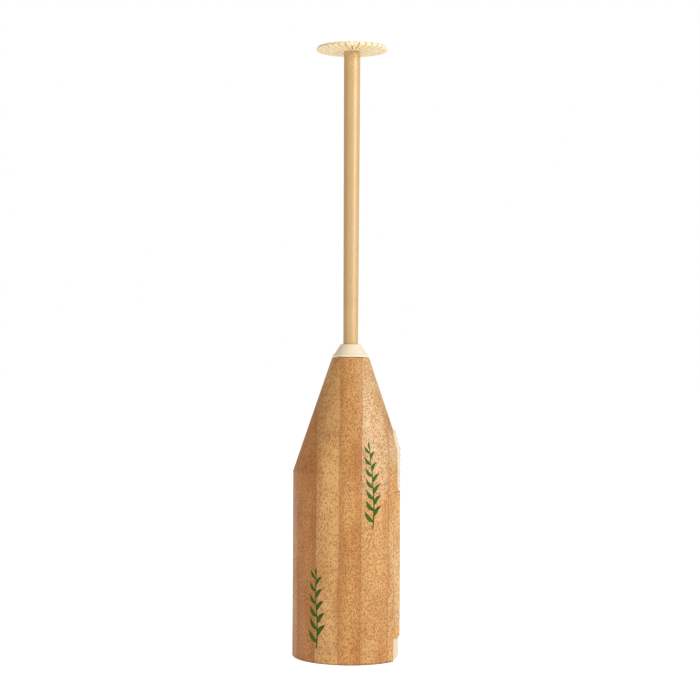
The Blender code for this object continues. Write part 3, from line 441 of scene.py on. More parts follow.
# %% Cell sleeve material
def sleeve_material(name, band_from, band_up):
    """A dark glossy sleeve with a copper band on one side of a height."""
    material = plastic(name, srgb(38, 44, 54), srgb(48, 54, 64), 0.28,
                       {"Coat Weight": 0.5, "Coat Roughness": 0.08})
    w = Wiring(material.node_tree)
    shader = material.node_tree.nodes["Principled BSDF"]
    dark = shader.inputs["Base Color"].links[0].from_socket
    place = w.node("TexCoord").outputs["Object"]
    height = w.node("SeparateXYZ", Vector=place).outputs["Z"]
    compare = "GREATER_THAN" if band_up else "LESS_THAN"
    in_band = w.math(compare, height, band_from)
    w.feed(shader.inputs["Base Color"], w.mix(in_band, dark, srgb(190, 128, 74)))
    return material


# %% [markdown]
# ## Mesh helpers
#
# Round pieces are an outline turned with spin. Slabs are cylinders cut by planes. Pockets and
# slots are cut with a Boolean, which is the nearest thing to a milling cutter. Edges then get
# a small bevel, because every real edge catches a line of light.


# %% Turned and cut shapes
def rounded(outline, roundings, steps=5):
    """The outline with arcs at some of its corners: roundings maps a point's number to a radius."""
    made = []
    for number, point in enumerate(outline):
        radius = roundings.get(number)
        if not radius:
            made.append(point)
            continue
        corner = Vector(point)
        back = (Vector(outline[number - 1]) - corner).normalized()
        ahead = (Vector(outline[(number + 1) % len(outline)]) - corner).normalized()
        half = back.angle(ahead) / 2
        reach = radius / math.tan(half)
        centre = corner + (back + ahead).normalized() * (radius / math.sin(half))
        start = (corner + back * reach - centre).normalized()
        end = (corner + ahead * reach - centre).normalized()
        for step in range(steps + 1):
            made.append(tuple(centre + start.slerp(end, step / steps) * radius))
    return made


def tidy(bm):
    bmesh.ops.remove_doubles(bm, verts=bm.verts[:], dist=0.001 * MM)
    bmesh.ops.recalc_face_normals(bm, faces=bm.faces[:])
    return bm


def turned(outline, closed=False, steps=ROUND_STEPS, at=(0, 0)):
    """Turn an outline of (radius, height) about an upright axis."""
    bm = bmesh.new()
    points = [bm.verts.new((radius, 0, height)) for radius, height in outline]
    edges = [bm.edges.new(pair) for pair in zip(points, points[1:])]
    if closed:
        edges.append(bm.edges.new((points[-1], points[0])))
    bmesh.ops.spin(bm, geom=points + edges, cent=(0, 0, 0), axis=(0, 0, 1),
                   angle=2 * math.pi, steps=steps, use_merge=True)
    bmesh.ops.translate(bm, vec=(*at, 0), verts=bm.verts[:])
    return tidy(bm)


def block(x, y, z):
    """A box from its two ends along each axis."""
    low, high = Vector((x[0], y[0], z[0])), Vector((x[1], y[1], z[1]))
    bm = bmesh.new()
    bmesh.ops.create_cube(bm, size=1.0)
    bmesh.ops.scale(bm, vec=high - low, verts=bm.verts[:])
    bmesh.ops.translate(bm, vec=(low + high) / 2, verts=bm.verts[:])
    return bm


def keep_behind(bm, point, normal):
    """Cut a closed shape with a plane and close it again, keeping the side behind."""
    everything = bm.verts[:] + bm.edges[:] + bm.faces[:]
    sliced = bmesh.ops.bisect_plane(bm, geom=everything, plane_co=point, plane_no=normal,
                                    dist=0.0001 * MM, clear_outer=True)
    rim = [item for item in sliced["geom_cut"] if isinstance(item, bmesh.types.BMEdge)]
    bmesh.ops.holes_fill(bm, edges=rim, sides=0)
    return bm


def soften(bm, width, segments=3, above=38.0, beyond_x=-1.0):
    """Bevel every edge that turns by more than an angle in degrees, past a place along X."""
    sharp = [edge for edge in bm.edges
             if len(edge.link_faces) == 2 and edge.calc_face_angle() > math.radians(above)
             and min(vert.co.x for vert in edge.verts) > beyond_x]
    bmesh.ops.bevel(bm, geom=sharp, offset=width, offset_type="OFFSET", affect="EDGES",
                    segments=segments, profile=0.5, material=-1, clamp_overlap=True)
    return bm


def scratch(name, bm):
    mesh = bpy.data.meshes.new(name)
    bm.to_mesh(mesh)
    bm.free()
    piece = bpy.data.objects.new(name, mesh)
    bpy.context.scene.collection.objects.link(piece)
    return piece


def carve(bm, tool, operation="DIFFERENCE"):
    """Cut one closed shape with another, or join or intersect them."""
    whole, cutter = scratch("whole", bm), scratch("cutter", tool)
    step = whole.modifiers.new("carve", "BOOLEAN")
    step.operation = operation
    step.object = cutter
    step.solver = "EXACT"
    made = bmesh.new()
    made.from_object(whole, bpy.context.evaluated_depsgraph_get())
    for used in (whole, cutter):
        data = used.data
        bpy.data.objects.remove(used)
        bpy.data.meshes.remove(data)
    return made


# %% Finishing a piece
def piece(name, bm, slot, body, nodes=(), material=None, smooth_below=40.0):
    """Make the object, give it its finish, and let it ride on its body."""
    mesh = bpy.data.meshes.new(name)
    bm.to_mesh(mesh)
    bm.free()
    mesh.shade_smooth()
    mesh.set_sharp_from_angle(angle=math.radians(smooth_below))
    mesh.materials.append(material or FINISH[slot])
    made = bpy.data.objects.new(name, mesh)
    bpy.context.scene.collection.objects.link(made)
    even = made.modifiers.new("even_normals", "WEIGHTED_NORMAL")
    even.keep_sharp = True
    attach(made, body)
    if nodes:
        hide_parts(*nodes)
    print(name, len(mesh.polygons), "faces on", body)
    return made


# %% [markdown]
# ## Camera, light and floor
#
# The whisk is seen level, from a little over half a metre, with a long lens, so the cone and
# the disc are hardly distorted. A large soft light stands on the right and a weaker one on
# the left. The pale floor throws light up under the disc.

# %% Camera
CAMERA_AWAY = 578 * MM
CAMERA_HEIGHT = 109.9 * MM
camera = bpy.data.objects.new("camera", bpy.data.cameras.new("camera"))
bpy.context.scene.collection.objects.link(camera)
camera.data.lens = 82.4
camera.data.sensor_width = 36.0
camera.location = (-0.23 * MM, -CAMERA_AWAY, CAMERA_HEIGHT)
camera.rotation_euler = (math.radians(90), math.radians(-0.3), 0)
bpy.context.scene.camera = camera
bpy.context.scene.view_settings.view_transform = "Standard"


# %% Lights
def soft_light(name, place, aim, size, power, colour=(1, 1, 1)):
    lamp = bpy.data.lights.new(name, "AREA")
    lamp.shape = "DISK"
    lamp.size = size
    lamp.energy = power
    lamp.color = colour
    made = bpy.data.objects.new(name, lamp)
    made.location = place
    made.rotation_euler = (Vector(aim) - Vector(place)).to_track_quat("-Z", "Y").to_euler()
    bpy.context.scene.collection.objects.link(made)
    return made


MIDDLE = (0, 0, 0.1)
soft_light("key", (0.74, -0.62, 0.42), MIDDLE, 0.45, 6.6)
soft_light("fill", (-0.7, -0.9, 0.35), MIDDLE, 0.8, 1.9)
soft_light("back", (0.1, 0.9, 0.7), MIDDLE, 0.8, 2.0)

# %% Sky and floor
sky = bpy.data.worlds.new("studio")
sky.use_nodes = True
bpy.context.scene.world = sky
sky_wiring = Wiring(sky.node_tree)
backdrop = sky.node_tree.nodes["Background"]
backdrop.inputs["Color"].default_value = (1, 1, 1, 1)
seen = sky_wiring.node("LightPath").outputs["Is Camera Ray"]
sky_wiring.feed(backdrop.inputs["Strength"], sky_wiring.math("MULTIPLY_ADD", seen, 0.60, 0.40))

floor_bm = bmesh.new()
bmesh.ops.create_circle(floor_bm, cap_ends=True, segments=96, radius=6.0)
floor_mesh = bpy.data.meshes.new("floor")
floor_bm.to_mesh(floor_mesh)
floor_bm.free()
floor = bpy.data.objects.new("floor", floor_mesh)
bpy.context.scene.collection.objects.link(floor)
pale = bpy.data.materials.new("pale_floor")
pale.use_nodes = True
pale_shader = pale.node_tree.nodes["Principled BSDF"]
pale_shader.inputs["Base Color"].default_value = (0.9, 0.9, 0.9, 1)
pale_shader.inputs["Roughness"].default_value = 0.8
pale_shader.inputs["Specular IOR Level"].default_value = 0.1
pale_shader.inputs["Emission Color"].default_value = (1, 1, 1, 1)
pale_wiring = Wiring(pale.node_tree)
seen_floor = pale_wiring.node("LightPath").outputs["Is Camera Ray"]
glow = pale_wiring.math("MULTIPLY_ADD", seen_floor, 0.36, 0.30)
pale_wiring.feed(pale_shader.inputs["Emission Strength"], glow)
floor_mesh.materials.append(pale)

# %% [markdown]
# ## The bamboo handle
#
# The real handle is turned on a lathe and bored, and then the flat side, the door's opening
# and the switch's pocket are milled. The same order works here: one closed outline of the
# wall is spun about Z, and boxes and the pocket's tapering tab are cut away. The turned edges
# are rounded in the outline, so only the cut edges outside the parting face are softened.


# %% Bamboo shell
TAPER = 2.8 * MM
TAPER_Z = DOOR_TOP_Z + 9 * MM
SWITCH_TOP_Z = plate_high.z - 1.4 * MM


def tab(x, half_y, z):
    """An upright tab pulled along X, narrower towards its rounded top."""
    outline = rounded([(-half_y, z[0]), (half_y, z[0]), (half_y, TAPER_Z),
                       (half_y - TAPER, z[1]), (TAPER - half_y, z[1]), (-half_y, TAPER_Z)],
                      {2: 9 * MM, 3: 2.6 * MM, 4: 2.6 * MM, 5: 9 * MM})
    bm = bmesh.new()
    face = bm.faces.new([bm.verts.new((x[0], *point)) for point in outline])
    pulled = bmesh.ops.extrude_face_region(bm, geom=[face])["geom"]
    moved = [item for item in pulled if isinstance(item, bmesh.types.BMVert)]
    bmesh.ops.translate(bm, vec=(x[1] - x[0], 0, 0), verts=moved)
    return tidy(bm)


PAST = 5 * MM
SPREAD_R = 11.45 * MM
MOTOR_POCKET_R = 10.35 * MM
NOSE_BORE_R = 5.0 * MM


def make_shell():
    neck_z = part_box("motor_can")[1].z - 1.6 * MM + GAP
    collar_z = DOOR_TOP_Z + 8.6 * MM
    outline = rounded([
        (WOOD_TOP_R, WOOD_TOP_Z),
        (HANDLE_R, SHOULDER_Z),
        (HANDLE_R, 0),
        (CAVITY_R, 0),
        (CAVITY_R, DOOR_TOP_Z + 2.1 * MM),
        (SPREAD_R, DOOR_TOP_Z + 2.1 * MM),
        (SPREAD_R, collar_z),
        (MOTOR_POCKET_R, collar_z),
        (MOTOR_POCKET_R, neck_z),
        (NOSE_BORE_R, neck_z),
        (NOSE_BORE_R, WOOD_TOP_Z),
    ], {0: 0.5 * MM, 1: 1.2 * MM, 2: 0.4 * MM, 3: 0.3 * MM})
    shell = turned(outline, closed=True)
    far = HANDLE_R + PAST
    top_z = DOOR_TOP_Z + SEAM
    pocket_y = plate_high.y + SEAM
    flat_top_z = SHOULDER_Z + (HANDLE_R - FLAT_X) / CONE_SLOPE
    shell = carve(shell, block((PARTING_X, far), (-far, far), (-PAST, top_z)))
    shell = carve(shell, block((FLAT_X, far), (-far, far), (top_z - PAST, flat_top_z + PAST)))
    shell = carve(shell, tab((PARTING_X, far), pocket_y, (top_z - PAST, SWITCH_TOP_Z + SEAM)))
    strip_low, strip_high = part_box("motor_strip")
    bracket_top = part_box("chassis")[1].z
    shell = carve(shell, block((10.2 * MM, strip_low.x), (-6.4 * MM, 6.4 * MM),
                               (top_z - PAST, bracket_top + 1 * MM)))
    strip_y = -strip_low.y + 0.5 * MM
    shell = carve(shell, block((strip_low.x - 0.1 * MM, far), (-strip_y, strip_y),
                               (top_z - PAST, strip_high.z + 0.5 * MM)))
    bmesh.ops.remove_doubles(shell, verts=shell.verts[:], dist=0.002 * MM)
    soften(shell, 0.12 * MM, segments=2, beyond_x=PARTING_X + 0.2 * MM)
    return piece("bamboo_handle", shell, "bamboo", "handle", ["bamboo_shell"])


make_shell()

# %% [markdown]
# ## The battery door
#
# The door is cut from the same block as the handle, so the strips run on across it and its
# seam can hardly be seen. Its outside continues the handle's round until the flat face, and
# its lower edge is chamfered above the cream foot. It rides on the door's own body.


# %% Bamboo door
def slab(radius, x, z, chamfer=0.0):
    """The part of an upright cylinder between two planes across X."""
    bm = turned([(0, z[1]), (radius, z[1]), (radius, z[0]), (0, z[0])])
    keep_behind(bm, (x[1], 0, 0), (1, 0, 0))
    keep_behind(bm, (x[0], 0, 0), (-1, 0, 0))
    if chamfer:
        keep_behind(bm, (x[1], 0, z[0] + chamfer), (1, 0, -1))
    return bm


door_bm = slab(HANDLE_R, (PARTING_X + SEAM, door_high.x), (door_low.z, DOOR_TOP_Z), 0.8 * MM)
soften(door_bm, 0.15 * MM, segments=2, above=30, beyond_x=PARTING_X + 0.2 * MM)
piece("bamboo_door", door_bm, "bamboo", "door", ["battery_door"])

# %% [markdown]
# ## Cream mouldings
#
# The base closes the handle from below, and its foot shows under the door as a pale block
# with a bevelled lower edge. The switch's plate follows the outline of the handle a little
# proud of the wood, so it is the same outline, set outwards, and kept only inside the tab.
# The wood's own outline is then taken away behind it, so the plate lies on the cone.


# %% Base plate and foot
BASE_T = 2.2 * MM
FOOT_LIFT = 0.1 * MM
FOOT_CHAMFER = 1.7 * MM
NECK_HALF_Y = 8.8 * MM
RECESS_R, RECESS_TOP_Z = 2.3 * MM, 1.4 * MM


def make_base():
    disc_r = -base_low.x
    foot_x = base_high.x
    disc = turned(rounded([(0, BASE_T), (disc_r, BASE_T), (disc_r, 0), (0, 0)], {2: 0.5 * MM}))
    keep_behind(disc, (PARTING_X - GAP, 0, 0), (1, 0, 0))
    neck = block((11 * MM, 16.4 * MM), (-NECK_HALF_Y, NECK_HALF_Y), (0.9 * MM, BASE_T))
    foot = slab(HANDLE_R - 0.1 * MM, (PARTING_X + SEAM, foot_x),
                (FOOT_LIFT, door_low.z - SEAM), chamfer=FOOT_CHAMFER)
    base = carve(carve(disc, neck, "UNION"), foot, "UNION")
    for tag in "12":
        low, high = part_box("base_screw_" + tag)
        middle = (low + high) / 2
        recess = turned([(0, RECESS_TOP_Z), (RECESS_R, RECESS_TOP_Z), (RECESS_R, -1 * MM),
                         (0, -1 * MM)], steps=48, at=(middle.x, middle.y))
        base = carve(base, recess)
    soften(base, 0.22 * MM, segments=3)
    # The base wears the darker copy of the cream plastic, which is painted shade on the foot.
    return piece("base_and_foot", base, "cream_plastic", "handle", ["base_plate"],
                 material=FINISH["cream_painted_shade"])


make_base()


# %% Switch plate
PLATE_PROUD = 0.7 * MM
PLATE_FLOOR_T = 0.8 * MM
STEM_SLOT_HALF_Y = 2.0 * MM
STEM_SLOT_Z = (66 * MM, 73.6 * MM)


def make_switch_plate():
    outline = [(0, WOOD_TOP_Z), (WOOD_TOP_R + PLATE_PROUD, WOOD_TOP_Z),
               (HANDLE_R + PLATE_PROUD, SHOULDER_Z), (HANDLE_R + PLATE_PROUD, 40 * MM),
               (0, 40 * MM)]
    body = turned(rounded(outline, {2: 1.0 * MM}))
    trim = tab((9 * MM, plate_high.x), plate_high.y, (DOOR_TOP_Z + SEAM, SWITCH_TOP_Z))
    plate = carve(body, trim, "INTERSECT")
    wood = turned([(0, WOOD_TOP_Z), (WOOD_TOP_R + SEAM, WOOD_TOP_Z),
                   (HANDLE_R + SEAM, SHOULDER_Z), (HANDLE_R + SEAM, 30 * MM), (0, 30 * MM)])
    plate = carve(plate, keep_behind(wood, (PARTING_X + SEAM, 0, 0), (1, 0, 0)))
    slider_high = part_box("switch_slider")[1]
    recess_y = slider_high.y + GAP
    recess = block((plate_low.x + PLATE_FLOOR_T, 30 * MM), (-recess_y, recess_y),
                   (50 * MM, slider_high.z + 2.3 * MM))
    stem = block((10 * MM, 30 * MM), (-STEM_SLOT_HALF_Y, STEM_SLOT_HALF_Y), STEM_SLOT_Z)
    plate = carve(carve(plate, recess), stem)
    soften(plate, 0.2 * MM, segments=3, above=32, beyond_x=PARTING_X + 0.2 * MM)
    return piece("switch_surround", plate, "cream_plastic", "handle", ["switch_plate"])


make_switch_plate()

# %% [markdown]
# ## The slider
#
# The thumb needs a grip, so the slider's face has eight soft ribs across it. The ribbed
# outline is a wave worked out by a formula, filled as one face and pulled across the width
# with extrude. It rides on the slider's body, with a tongue through the plate behind it.


# %% Ribbed slider
RIBS = 8
RIB_POINTS = 10
RIB_DEPTH = 0.55 * MM
STEM_Z = (66.3 * MM, 66.3 * MM + 5 * MM)


def make_slider():
    low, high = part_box("switch_slider")
    back_x = plate_low.x + 1.1 * MM
    pitch = (high.z - low.z) / RIBS
    bm = bmesh.new()
    side = [(back_x, low.z)]
    for step in range(RIBS * RIB_POINTS + 1):
        share = step / RIB_POINTS
        lift = abs(math.sin(math.pi * share)) ** 0.6
        side.append((high.x - RIB_DEPTH * (1 - lift), low.z + share * pitch))
    side.append((back_x, high.z))
    points = [bm.verts.new((x, low.y, z)) for x, z in side]
    face = bm.faces.new(points)
    pulled = bmesh.ops.extrude_face_region(bm, geom=[face])["geom"]
    moved = [item for item in pulled if isinstance(item, bmesh.types.BMVert)]
    bmesh.ops.translate(bm, vec=(0, high.y - low.y, 0), verts=moved)
    bmesh.ops.recalc_face_normals(bm, faces=bm.faces[:])
    rims = [e for e in bm.edges if abs(e.verts[0].co.y - e.verts[1].co.y) < 0.01 * MM
            and abs(e.verts[0].co.x - e.verts[1].co.x) + abs(e.verts[0].co.z - e.verts[1].co.z)
            < 0.8 * MM]
    bmesh.ops.bevel(bm, geom=rims, offset=0.12 * MM, offset_type="OFFSET", affect="EDGES",
                    segments=2, profile=0.5, material=-1)
    neck = block((low.x, back_x + 0.4 * MM), (-1.7 * MM, 1.7 * MM), STEM_Z)
    foot = block((low.x, low.x + 1.1 * MM), (-3 * MM, 3 * MM), STEM_Z)
    bm = carve(carve(bm, neck, "UNION"), foot, "UNION")
    return piece("ribbed_slider", bm, "grey_plastic", "slider", ["switch_slider"])


make_slider()

# %% [markdown]
# ## Nose cone and shaft
#
# Both are simple turned mouldings. What makes them look real is the roundings: the cone's
# soft upper lip round the shaft, and the thin shadow line between its flange and the wood.


# %% Nose cone
NOSE_LIP_R, NOSE_FLANGE_R = 2.95 * MM, 6.42 * MM
SPIGOT_OUT_R, SPIGOT_IN_R = 4.7 * MM, 3.9 * MM
NOSE_LIP_T = 1.3 * MM


def make_nose():
    low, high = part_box("nose_cone")
    flange_z = WOOD_TOP_Z + 0.12 * MM
    outline = rounded([
        (NOSE_LIP_R, high.z),
        (3.55 * MM, high.z),
        (5.98 * MM, flange_z + 0.85 * MM),
        (NOSE_FLANGE_R, flange_z + 0.80 * MM),
        (NOSE_FLANGE_R, flange_z),
        (SPIGOT_OUT_R, flange_z),
        (SPIGOT_OUT_R, low.z),
        (SPIGOT_IN_R, low.z),
        (SPIGOT_IN_R, high.z - NOSE_LIP_T),
        (NOSE_LIP_R, high.z - NOSE_LIP_T),
    ], {0: 0.15 * MM, 1: 0.5 * MM, 3: 0.2 * MM, 4: 0.2 * MM})
    return piece("nose_cone_fine", turned(outline, closed=True), "cream_plastic", "handle",
                 ["nose_cone"], smooth_below=50)


make_nose()


# %% Shaft
DISC_T = 1.6 * MM
SHAFT_R_LOW, SHAFT_R_TOP = 2.65 * MM, 2.95 * MM
ROD_HOLE_R = 1.3 * MM
SPIGOT_HOLE_R = 2.1 * MM
SPIGOT_HOLE_DEPTH = 5.4 * MM
SHAFT_SEAM = 0.02 * MM


def make_shaft():
    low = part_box("whisk_shaft")[0]
    head_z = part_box("whisk_head")[1].z - DISC_T
    nose_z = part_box("nose_cone")[1].z
    outline = [
        (SHAFT_R_TOP, head_z - SHAFT_SEAM),
        (SHAFT_R_LOW, nose_z),
        (SHAFT_R_LOW, low.z),
        (ROD_HOLE_R, low.z),
        (ROD_HOLE_R, head_z - SPIGOT_HOLE_DEPTH),
        (SPIGOT_HOLE_R, head_z - SPIGOT_HOLE_DEPTH),
        (SPIGOT_HOLE_R, head_z - SHAFT_SEAM),
    ]
    return piece("shaft_fine", turned(rounded(outline, {0: 0.08 * MM}), closed=True, steps=96),
                 "shaft_plastic", "whisk", ["whisk_shaft"])


make_shaft()

# %% [markdown]
# ## The toothed disc
#
# The disc is a thin dish with 32 slots from its rim nearly to its middle, so it is really 32
# springy teeth on a hub. It is turned first, with the slots cut by one cutter of 32 wedges
# that are wider at the rim, and the edges are softened last so that each tooth's end catches
# the light.

# %% Disc
TEETH = 32
SLOT_HALF_IN, SLOT_HALF_OUT = 0.20 * MM, 0.33 * MM
HUB_R, PAST_RIM_R = 4.0 * MM, 17 * MM
SPIGOT_R = 1.8 * MM


def make_head():
    low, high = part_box("whisk_head")
    rim_r = high.x
    under_z = high.z - DISC_T
    outline = rounded([
        (0, high.z),
        (rim_r - 0.6 * MM, high.z),
        (rim_r, under_z + 0.5 * MM),
        (10.6 * MM, under_z),
        (SPIGOT_R, under_z),
        (SPIGOT_R, low.z),
        (0, low.z),
    ], {1: 0.3 * MM, 2: 0.3 * MM})
    disc = turned(outline, steps=TEETH * 6)
    slots = bmesh.new()
    for tooth in range(TEETH):
        made = bmesh.ops.create_cube(slots, size=1.0)["verts"]
        for vert in made:
            outer = vert.co.x > 0
            half_width = SLOT_HALF_OUT if outer else SLOT_HALF_IN
            vert.co = Vector((PAST_RIM_R if outer else HUB_R,
                              math.copysign(half_width, vert.co.y),
                              under_z + math.copysign(3 * MM, vert.co.z)))
        bmesh.ops.rotate(slots, cent=(0, 0, 0), verts=made,
                         matrix=Matrix.Rotation(2 * math.pi * tooth / TEETH, 3, "Z"))
    disc = carve(disc, slots)
    bmesh.ops.dissolve_limit(disc, angle_limit=math.radians(0.5), use_dissolve_boundaries=False,
                             verts=disc.verts[:], edges=disc.edges[:])
    soften(disc, 0.1 * MM, segments=2, above=50)
    return piece("toothed_disc", disc, "head_plastic", "whisk", ["whisk_head"], smooth_below=35)


make_head()

# %% [markdown]
# ## Printed leaf sprigs
#
# Two slender sprigs are printed on the wood in green. A print has almost no thickness, so a
# sprig is drawn flat as thin leaves on a stem, wrapped round the handle by its own outline,
# and thickened by a few hundredths of a millimetre.

# %% Print ink
INK_LIFT = 0.02 * MM
INK_T = 0.03 * MM
green = plastic("print_green", srgb(58, 90, 8), srgb(72, 104, 18), 0.6,
                {"Specular IOR Level": 0.2})


# %% Leaf sprig
def flat_leaf(bm, root, tilt, length, width):
    """A pointed leaf in the flat drawing, from its root along a direction."""
    made = bmesh.ops.create_grid(bm, x_segments=10, y_segments=2, size=0.5)["verts"]
    turn = Matrix.Rotation(tilt, 3, "Z")
    for vert in made:
        share = vert.co.x + 0.5
        half = math.sin(math.pi * share ** 0.75) * width / 2
        bow = 0.10 * length * math.sin(math.pi * share)
        flat = Vector((share * length, vert.co.y * 2 * half + bow * math.copysign(1, tilt), 0))
        vert.co = turn @ flat + Vector((*root, 0))


def make_sprig(name, angle, z, width, pairs):
    """A sprig up the handle at an angle from the front, between two heights."""
    bm = bmesh.new()
    rise = z[1] - z[0]
    for vert in bmesh.ops.create_grid(bm, x_segments=2, y_segments=60, size=0.5)["verts"]:
        share = vert.co.y + 0.5
        half = (0.26 - 0.14 * share) * MM
        sway = 0.35 * MM * math.sin(2 * math.pi * share)
        vert.co = Vector((sway + vert.co.x * 2 * half, share * rise * 0.93, 0))
    for number in range(pairs):
        share = 0.08 + 0.84 * number / (pairs - 1)
        sway = 0.35 * MM * math.sin(2 * math.pi * share)
        side = 1 if number % 2 else -1
        length = width * (0.86 - 0.30 * share)
        upright = math.radians(90 - side * 38)
        flat_leaf(bm, (sway, share * rise * 0.93), upright, length, 0.30 * length)
    flat_leaf(bm, (0, 0.90 * rise), math.radians(90), 0.10 * rise, 0.28 * 0.10 * rise)
    bmesh.ops.remove_doubles(bm, verts=bm.verts[:], dist=0.005 * MM)
    for vert in bm.verts:
        height = z[0] + vert.co.y
        phi = angle + vert.co.x / HANDLE_R
        radius = outline_radius(height) + INK_LIFT
        vert.co = Vector((radius * math.sin(phi), -radius * math.cos(phi), height))
    bmesh.ops.solidify(bm, geom=bm.faces[:], thickness=-INK_T)
    return piece(name, bm, "bamboo", "handle", material=green)


make_sprig("leaf_sprig_upper", math.radians(23.2), (47.5 * MM, 78.0 * MM), 6.0 * MM, 13)
make_sprig("leaf_sprig_lower", math.radians(-34.2), (5.3 * MM, 33.8 * MM), 6.8 * MM, 11)


# %% [markdown]
# ## Inside the handle
#
# With the door open the cells, their springs and the cream cradle come into view. The cells
# are turned again with rolled ends. The rest keeps its frame shape: a merged copy is shaded
# smooth, or the node itself gets a material.

# %% Cells
def make_cell(number, nub_up):
    low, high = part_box("battery_cell_" + number)
    at = ((low.x + high.x) / 2, (low.y + high.y) / 2)
    radius = (high.y - low.y) / 2
    nub, length = 1.0 * MM, high.z - low.z
    steel_outline = rounded([
        (0, length),
        (2.7 * MM, length),
        (2.7 * MM, length - nub),
        (radius - 0.25 * MM, length - nub),
        (radius - 0.25 * MM, 0.05 * MM),
        (radius - 1.6 * MM, 0.05 * MM),
        (radius - 1.9 * MM, 0.3 * MM),
        (0, 0.3 * MM),
    ], {1: 0.35 * MM, 3: 0.4 * MM, 4: 0.4 * MM})
    sleeve_outline = rounded([
        (radius - 0.9 * MM, length - nub + 0.06 * MM),
        (radius, length - nub + 0.06 * MM),
        (radius, 0),
        (radius - 0.9 * MM, 0),
        (radius - 0.9 * MM, 0.04 * MM),
        (radius - 0.2 * MM, 0.04 * MM),
        (radius - 0.2 * MM, length - nub + 0.02 * MM),
        (radius - 0.9 * MM, length - nub + 0.02 * MM),
    ], {1: 0.5 * MM, 2: 0.5 * MM})
    shapes = [turned(steel_outline, steps=72), turned(sleeve_outline, closed=True, steps=72)]
    for bm in shapes:
        if not nub_up:
            bmesh.ops.rotate(bm, cent=(0, 0, length / 2), matrix=Matrix.Rotation(math.pi, 3, "X"),
                             verts=bm.verts[:])
        bmesh.ops.translate(bm, vec=(*at, low.z), verts=bm.verts[:])
    piece("cell_can_" + number, shapes[0], "steel", "handle", ["battery_cell_" + number])
    band_z = high.z - 14 * MM if nub_up else low.z + 14 * MM
    piece("cell_sleeve_" + number, shapes[1], "cell_wrap", "handle",
          material=sleeve_material("cell_sleeve_" + number, band_z, nub_up))


make_cell("1", True)
make_cell("2", False)


# %% Springs
def make_spring(name, turns=2.0, per_turn=28):
    """A conical battery spring, as a round wire along a helix."""
    low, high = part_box(name)
    wire_r = 0.3 * MM
    centre = (low + high) / 2
    wide_low = name == "lower_spring"
    curve = bpy.data.curves.new(name, "CURVE")
    curve.dimensions = "3D"
    curve.bevel_depth = wire_r
    curve.bevel_resolution = 3
    curve.use_fill_caps = True
    spline = curve.splines.new("POLY")
    count = round(turns * per_turn)
    spline.points.add(count)
    for step, point in enumerate(spline.points):
        share = step / count
        narrow = share if wide_low else 1 - share
        radius = (3.6 - 1.0 * narrow) * MM
        angle = 2 * math.pi * turns * share
        rise = (high.z - low.z - 2 * wire_r) * share
        point.co = (radius * math.cos(angle), centre.y + radius * math.sin(angle),
                    low.z + wire_r + rise, 1.0)
    wire = bpy.data.objects.new(name + "_wire", curve)
    bpy.context.scene.collection.objects.link(wire)
    bent = bpy.data.meshes.new_from_object(wire.evaluated_get(
        bpy.context.evaluated_depsgraph_get()))
    bm = bmesh.new()
    bm.from_mesh(bent)
    bpy.data.objects.remove(wire)
    return piece(name + "_fine", tidy(bm), "steel", "handle", [name], smooth_below=60)


make_spring("lower_spring")
make_spring("upper_spring")


# %% [markdown]
# ## Screws
#
# Two pan-head screws hold the base on. Seen from below they have a cross recess, cut here by
# two thin blades, and a domed rim.

# %% Base screws
def make_screw(name):
    low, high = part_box(name)
    middle = (low + high) / 2
    head_r = (high.x - low.x) / 2
    outline = rounded([
        (0, high.z), (1.0 * MM, high.z), (1.0 * MM, low.z + 1.1 * MM),
        (head_r, low.z + 1.1 * MM), (head_r, low.z), (0, low.z),
    ], {4: 0.55 * MM})
    screw = turned(outline, steps=48, at=(middle.x, middle.y))
    for turn in (0, 1):
        blade = block((-1.25 * MM, 1.25 * MM), (-0.24 * MM, 0.24 * MM),
                      (low.z - 1 * MM, low.z + 0.7 * MM))
        bmesh.ops.rotate(blade, cent=(0, 0, 0), verts=blade.verts[:],
                         matrix=Matrix.Rotation(turn * math.pi / 2 + 0.5, 3, "Z"))
        bmesh.ops.translate(blade, vec=(middle.x, middle.y, 0), verts=blade.verts[:])
        screw = carve(screw, blade)
    return piece(name + "_fine", screw, "steel", "handle", [name])


make_screw("base_screw_1")
make_screw("base_screw_2")


# %% [markdown]
# ## Pieces that keep their frame shape
#
# The cradle and the door's liner are plain mouldings. The cradle's copy is merged, because a
# frame node's mesh is loose triangles, and shaded smooth on its rounds. The liner is built
# again from boxes: a block, a tongue, and three shallow panels cut in its inner face. Everything
# deeper inside keeps its node and only gets its finish.

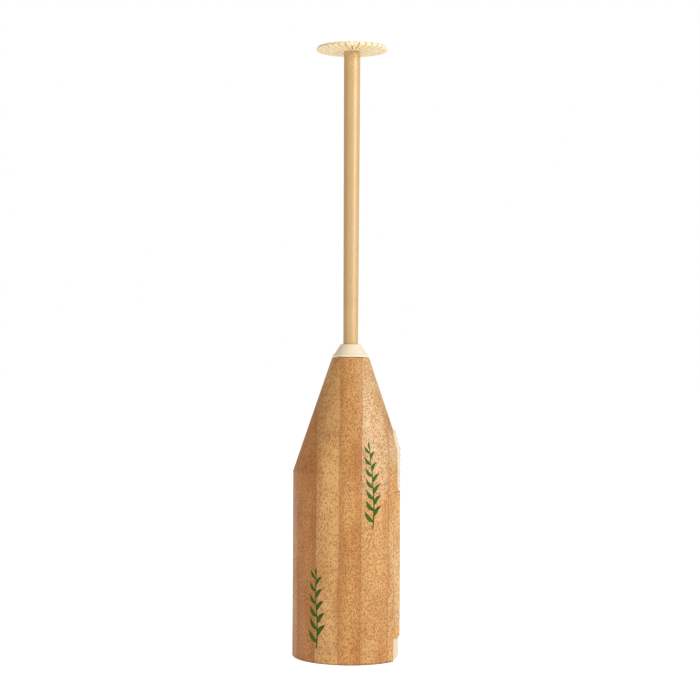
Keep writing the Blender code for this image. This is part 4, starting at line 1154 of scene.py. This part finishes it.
# %% Smooth copies
def smooth_copy(node, slot, body, name):
    bm = bmesh.new()
    bm.from_mesh(NODES[node].data)
    bmesh.ops.remove_doubles(bm, verts=bm.verts[:], dist=0.001 * MM)
    bmesh.ops.dissolve_limit(bm, angle_limit=math.radians(1), verts=bm.verts[:],
                             edges=bm.edges[:])
    return piece(name, bm, slot, body, [node], smooth_below=30)


smooth_copy("chassis", "cream_plastic", "handle", "cradle")
liner_bm = block((liner_low.x, PARTING_X), (liner_low.y, liner_high.y),
                 (liner_low.z, DOOR_TOP_Z - 1 * MM))
tongue = block((liner_low.x, PARTING_X - 0.15 * MM), (-4.5 * MM, 4.5 * MM),
               (DOOR_TOP_Z - 5 * MM, liner_high.z))
liner_bm = carve(liner_bm, tongue, "UNION")
for place in range(3):
    panel_low = liner_low.z + (3 + 15.6 * place) * MM
    panel = block((liner_low.x - 1 * MM, liner_low.x + 0.5 * MM), (-6.6 * MM, 6.6 * MM),
                  (panel_low, panel_low + 13.6 * MM))
    liner_bm = carve(liner_bm, panel)
soften(liner_bm, 0.15 * MM, segments=2)
piece("door_inside", liner_bm, "cream_plastic", "door", ["door_liner"])

# %% Frame nodes with their finish
KEPT = {
    "steel": ["motor_can", "motor_shaft", "motor_armature", "drive_rod", "chassis_screw_1",
              "chassis_screw_2"],
    "brass": ["bridge_contact", "positive_contact", "negative_contact", "live_strip",
              "motor_strip", "switch_wiper", "motor_terminal_1", "motor_terminal_2"],
    "copper": ["motor_commutator", "motor_winding_1", "motor_winding_2", "motor_winding_3"],
    "ferrite": ["motor_magnet_1", "motor_magnet_2"],
    "white_plastic": ["motor_end_cap", "shaft_coupling", "shaft_bushing"],
    "lead_red": ["lead_cell_to_switch", "lead_switch_to_motor"],
    "lead_black": ["lead_cell_to_motor"],
}
for slot, names in KEPT.items():
    for name in names:
        slots = NODES[name].data.materials
        slots.clear()
        slots.append(FINISH[slot])
plain = [name for name, node in NODES.items()
         if not node.hide_render and name not in sum(KEPT.values(), [])]
print("nodes left without a finish:", plain)
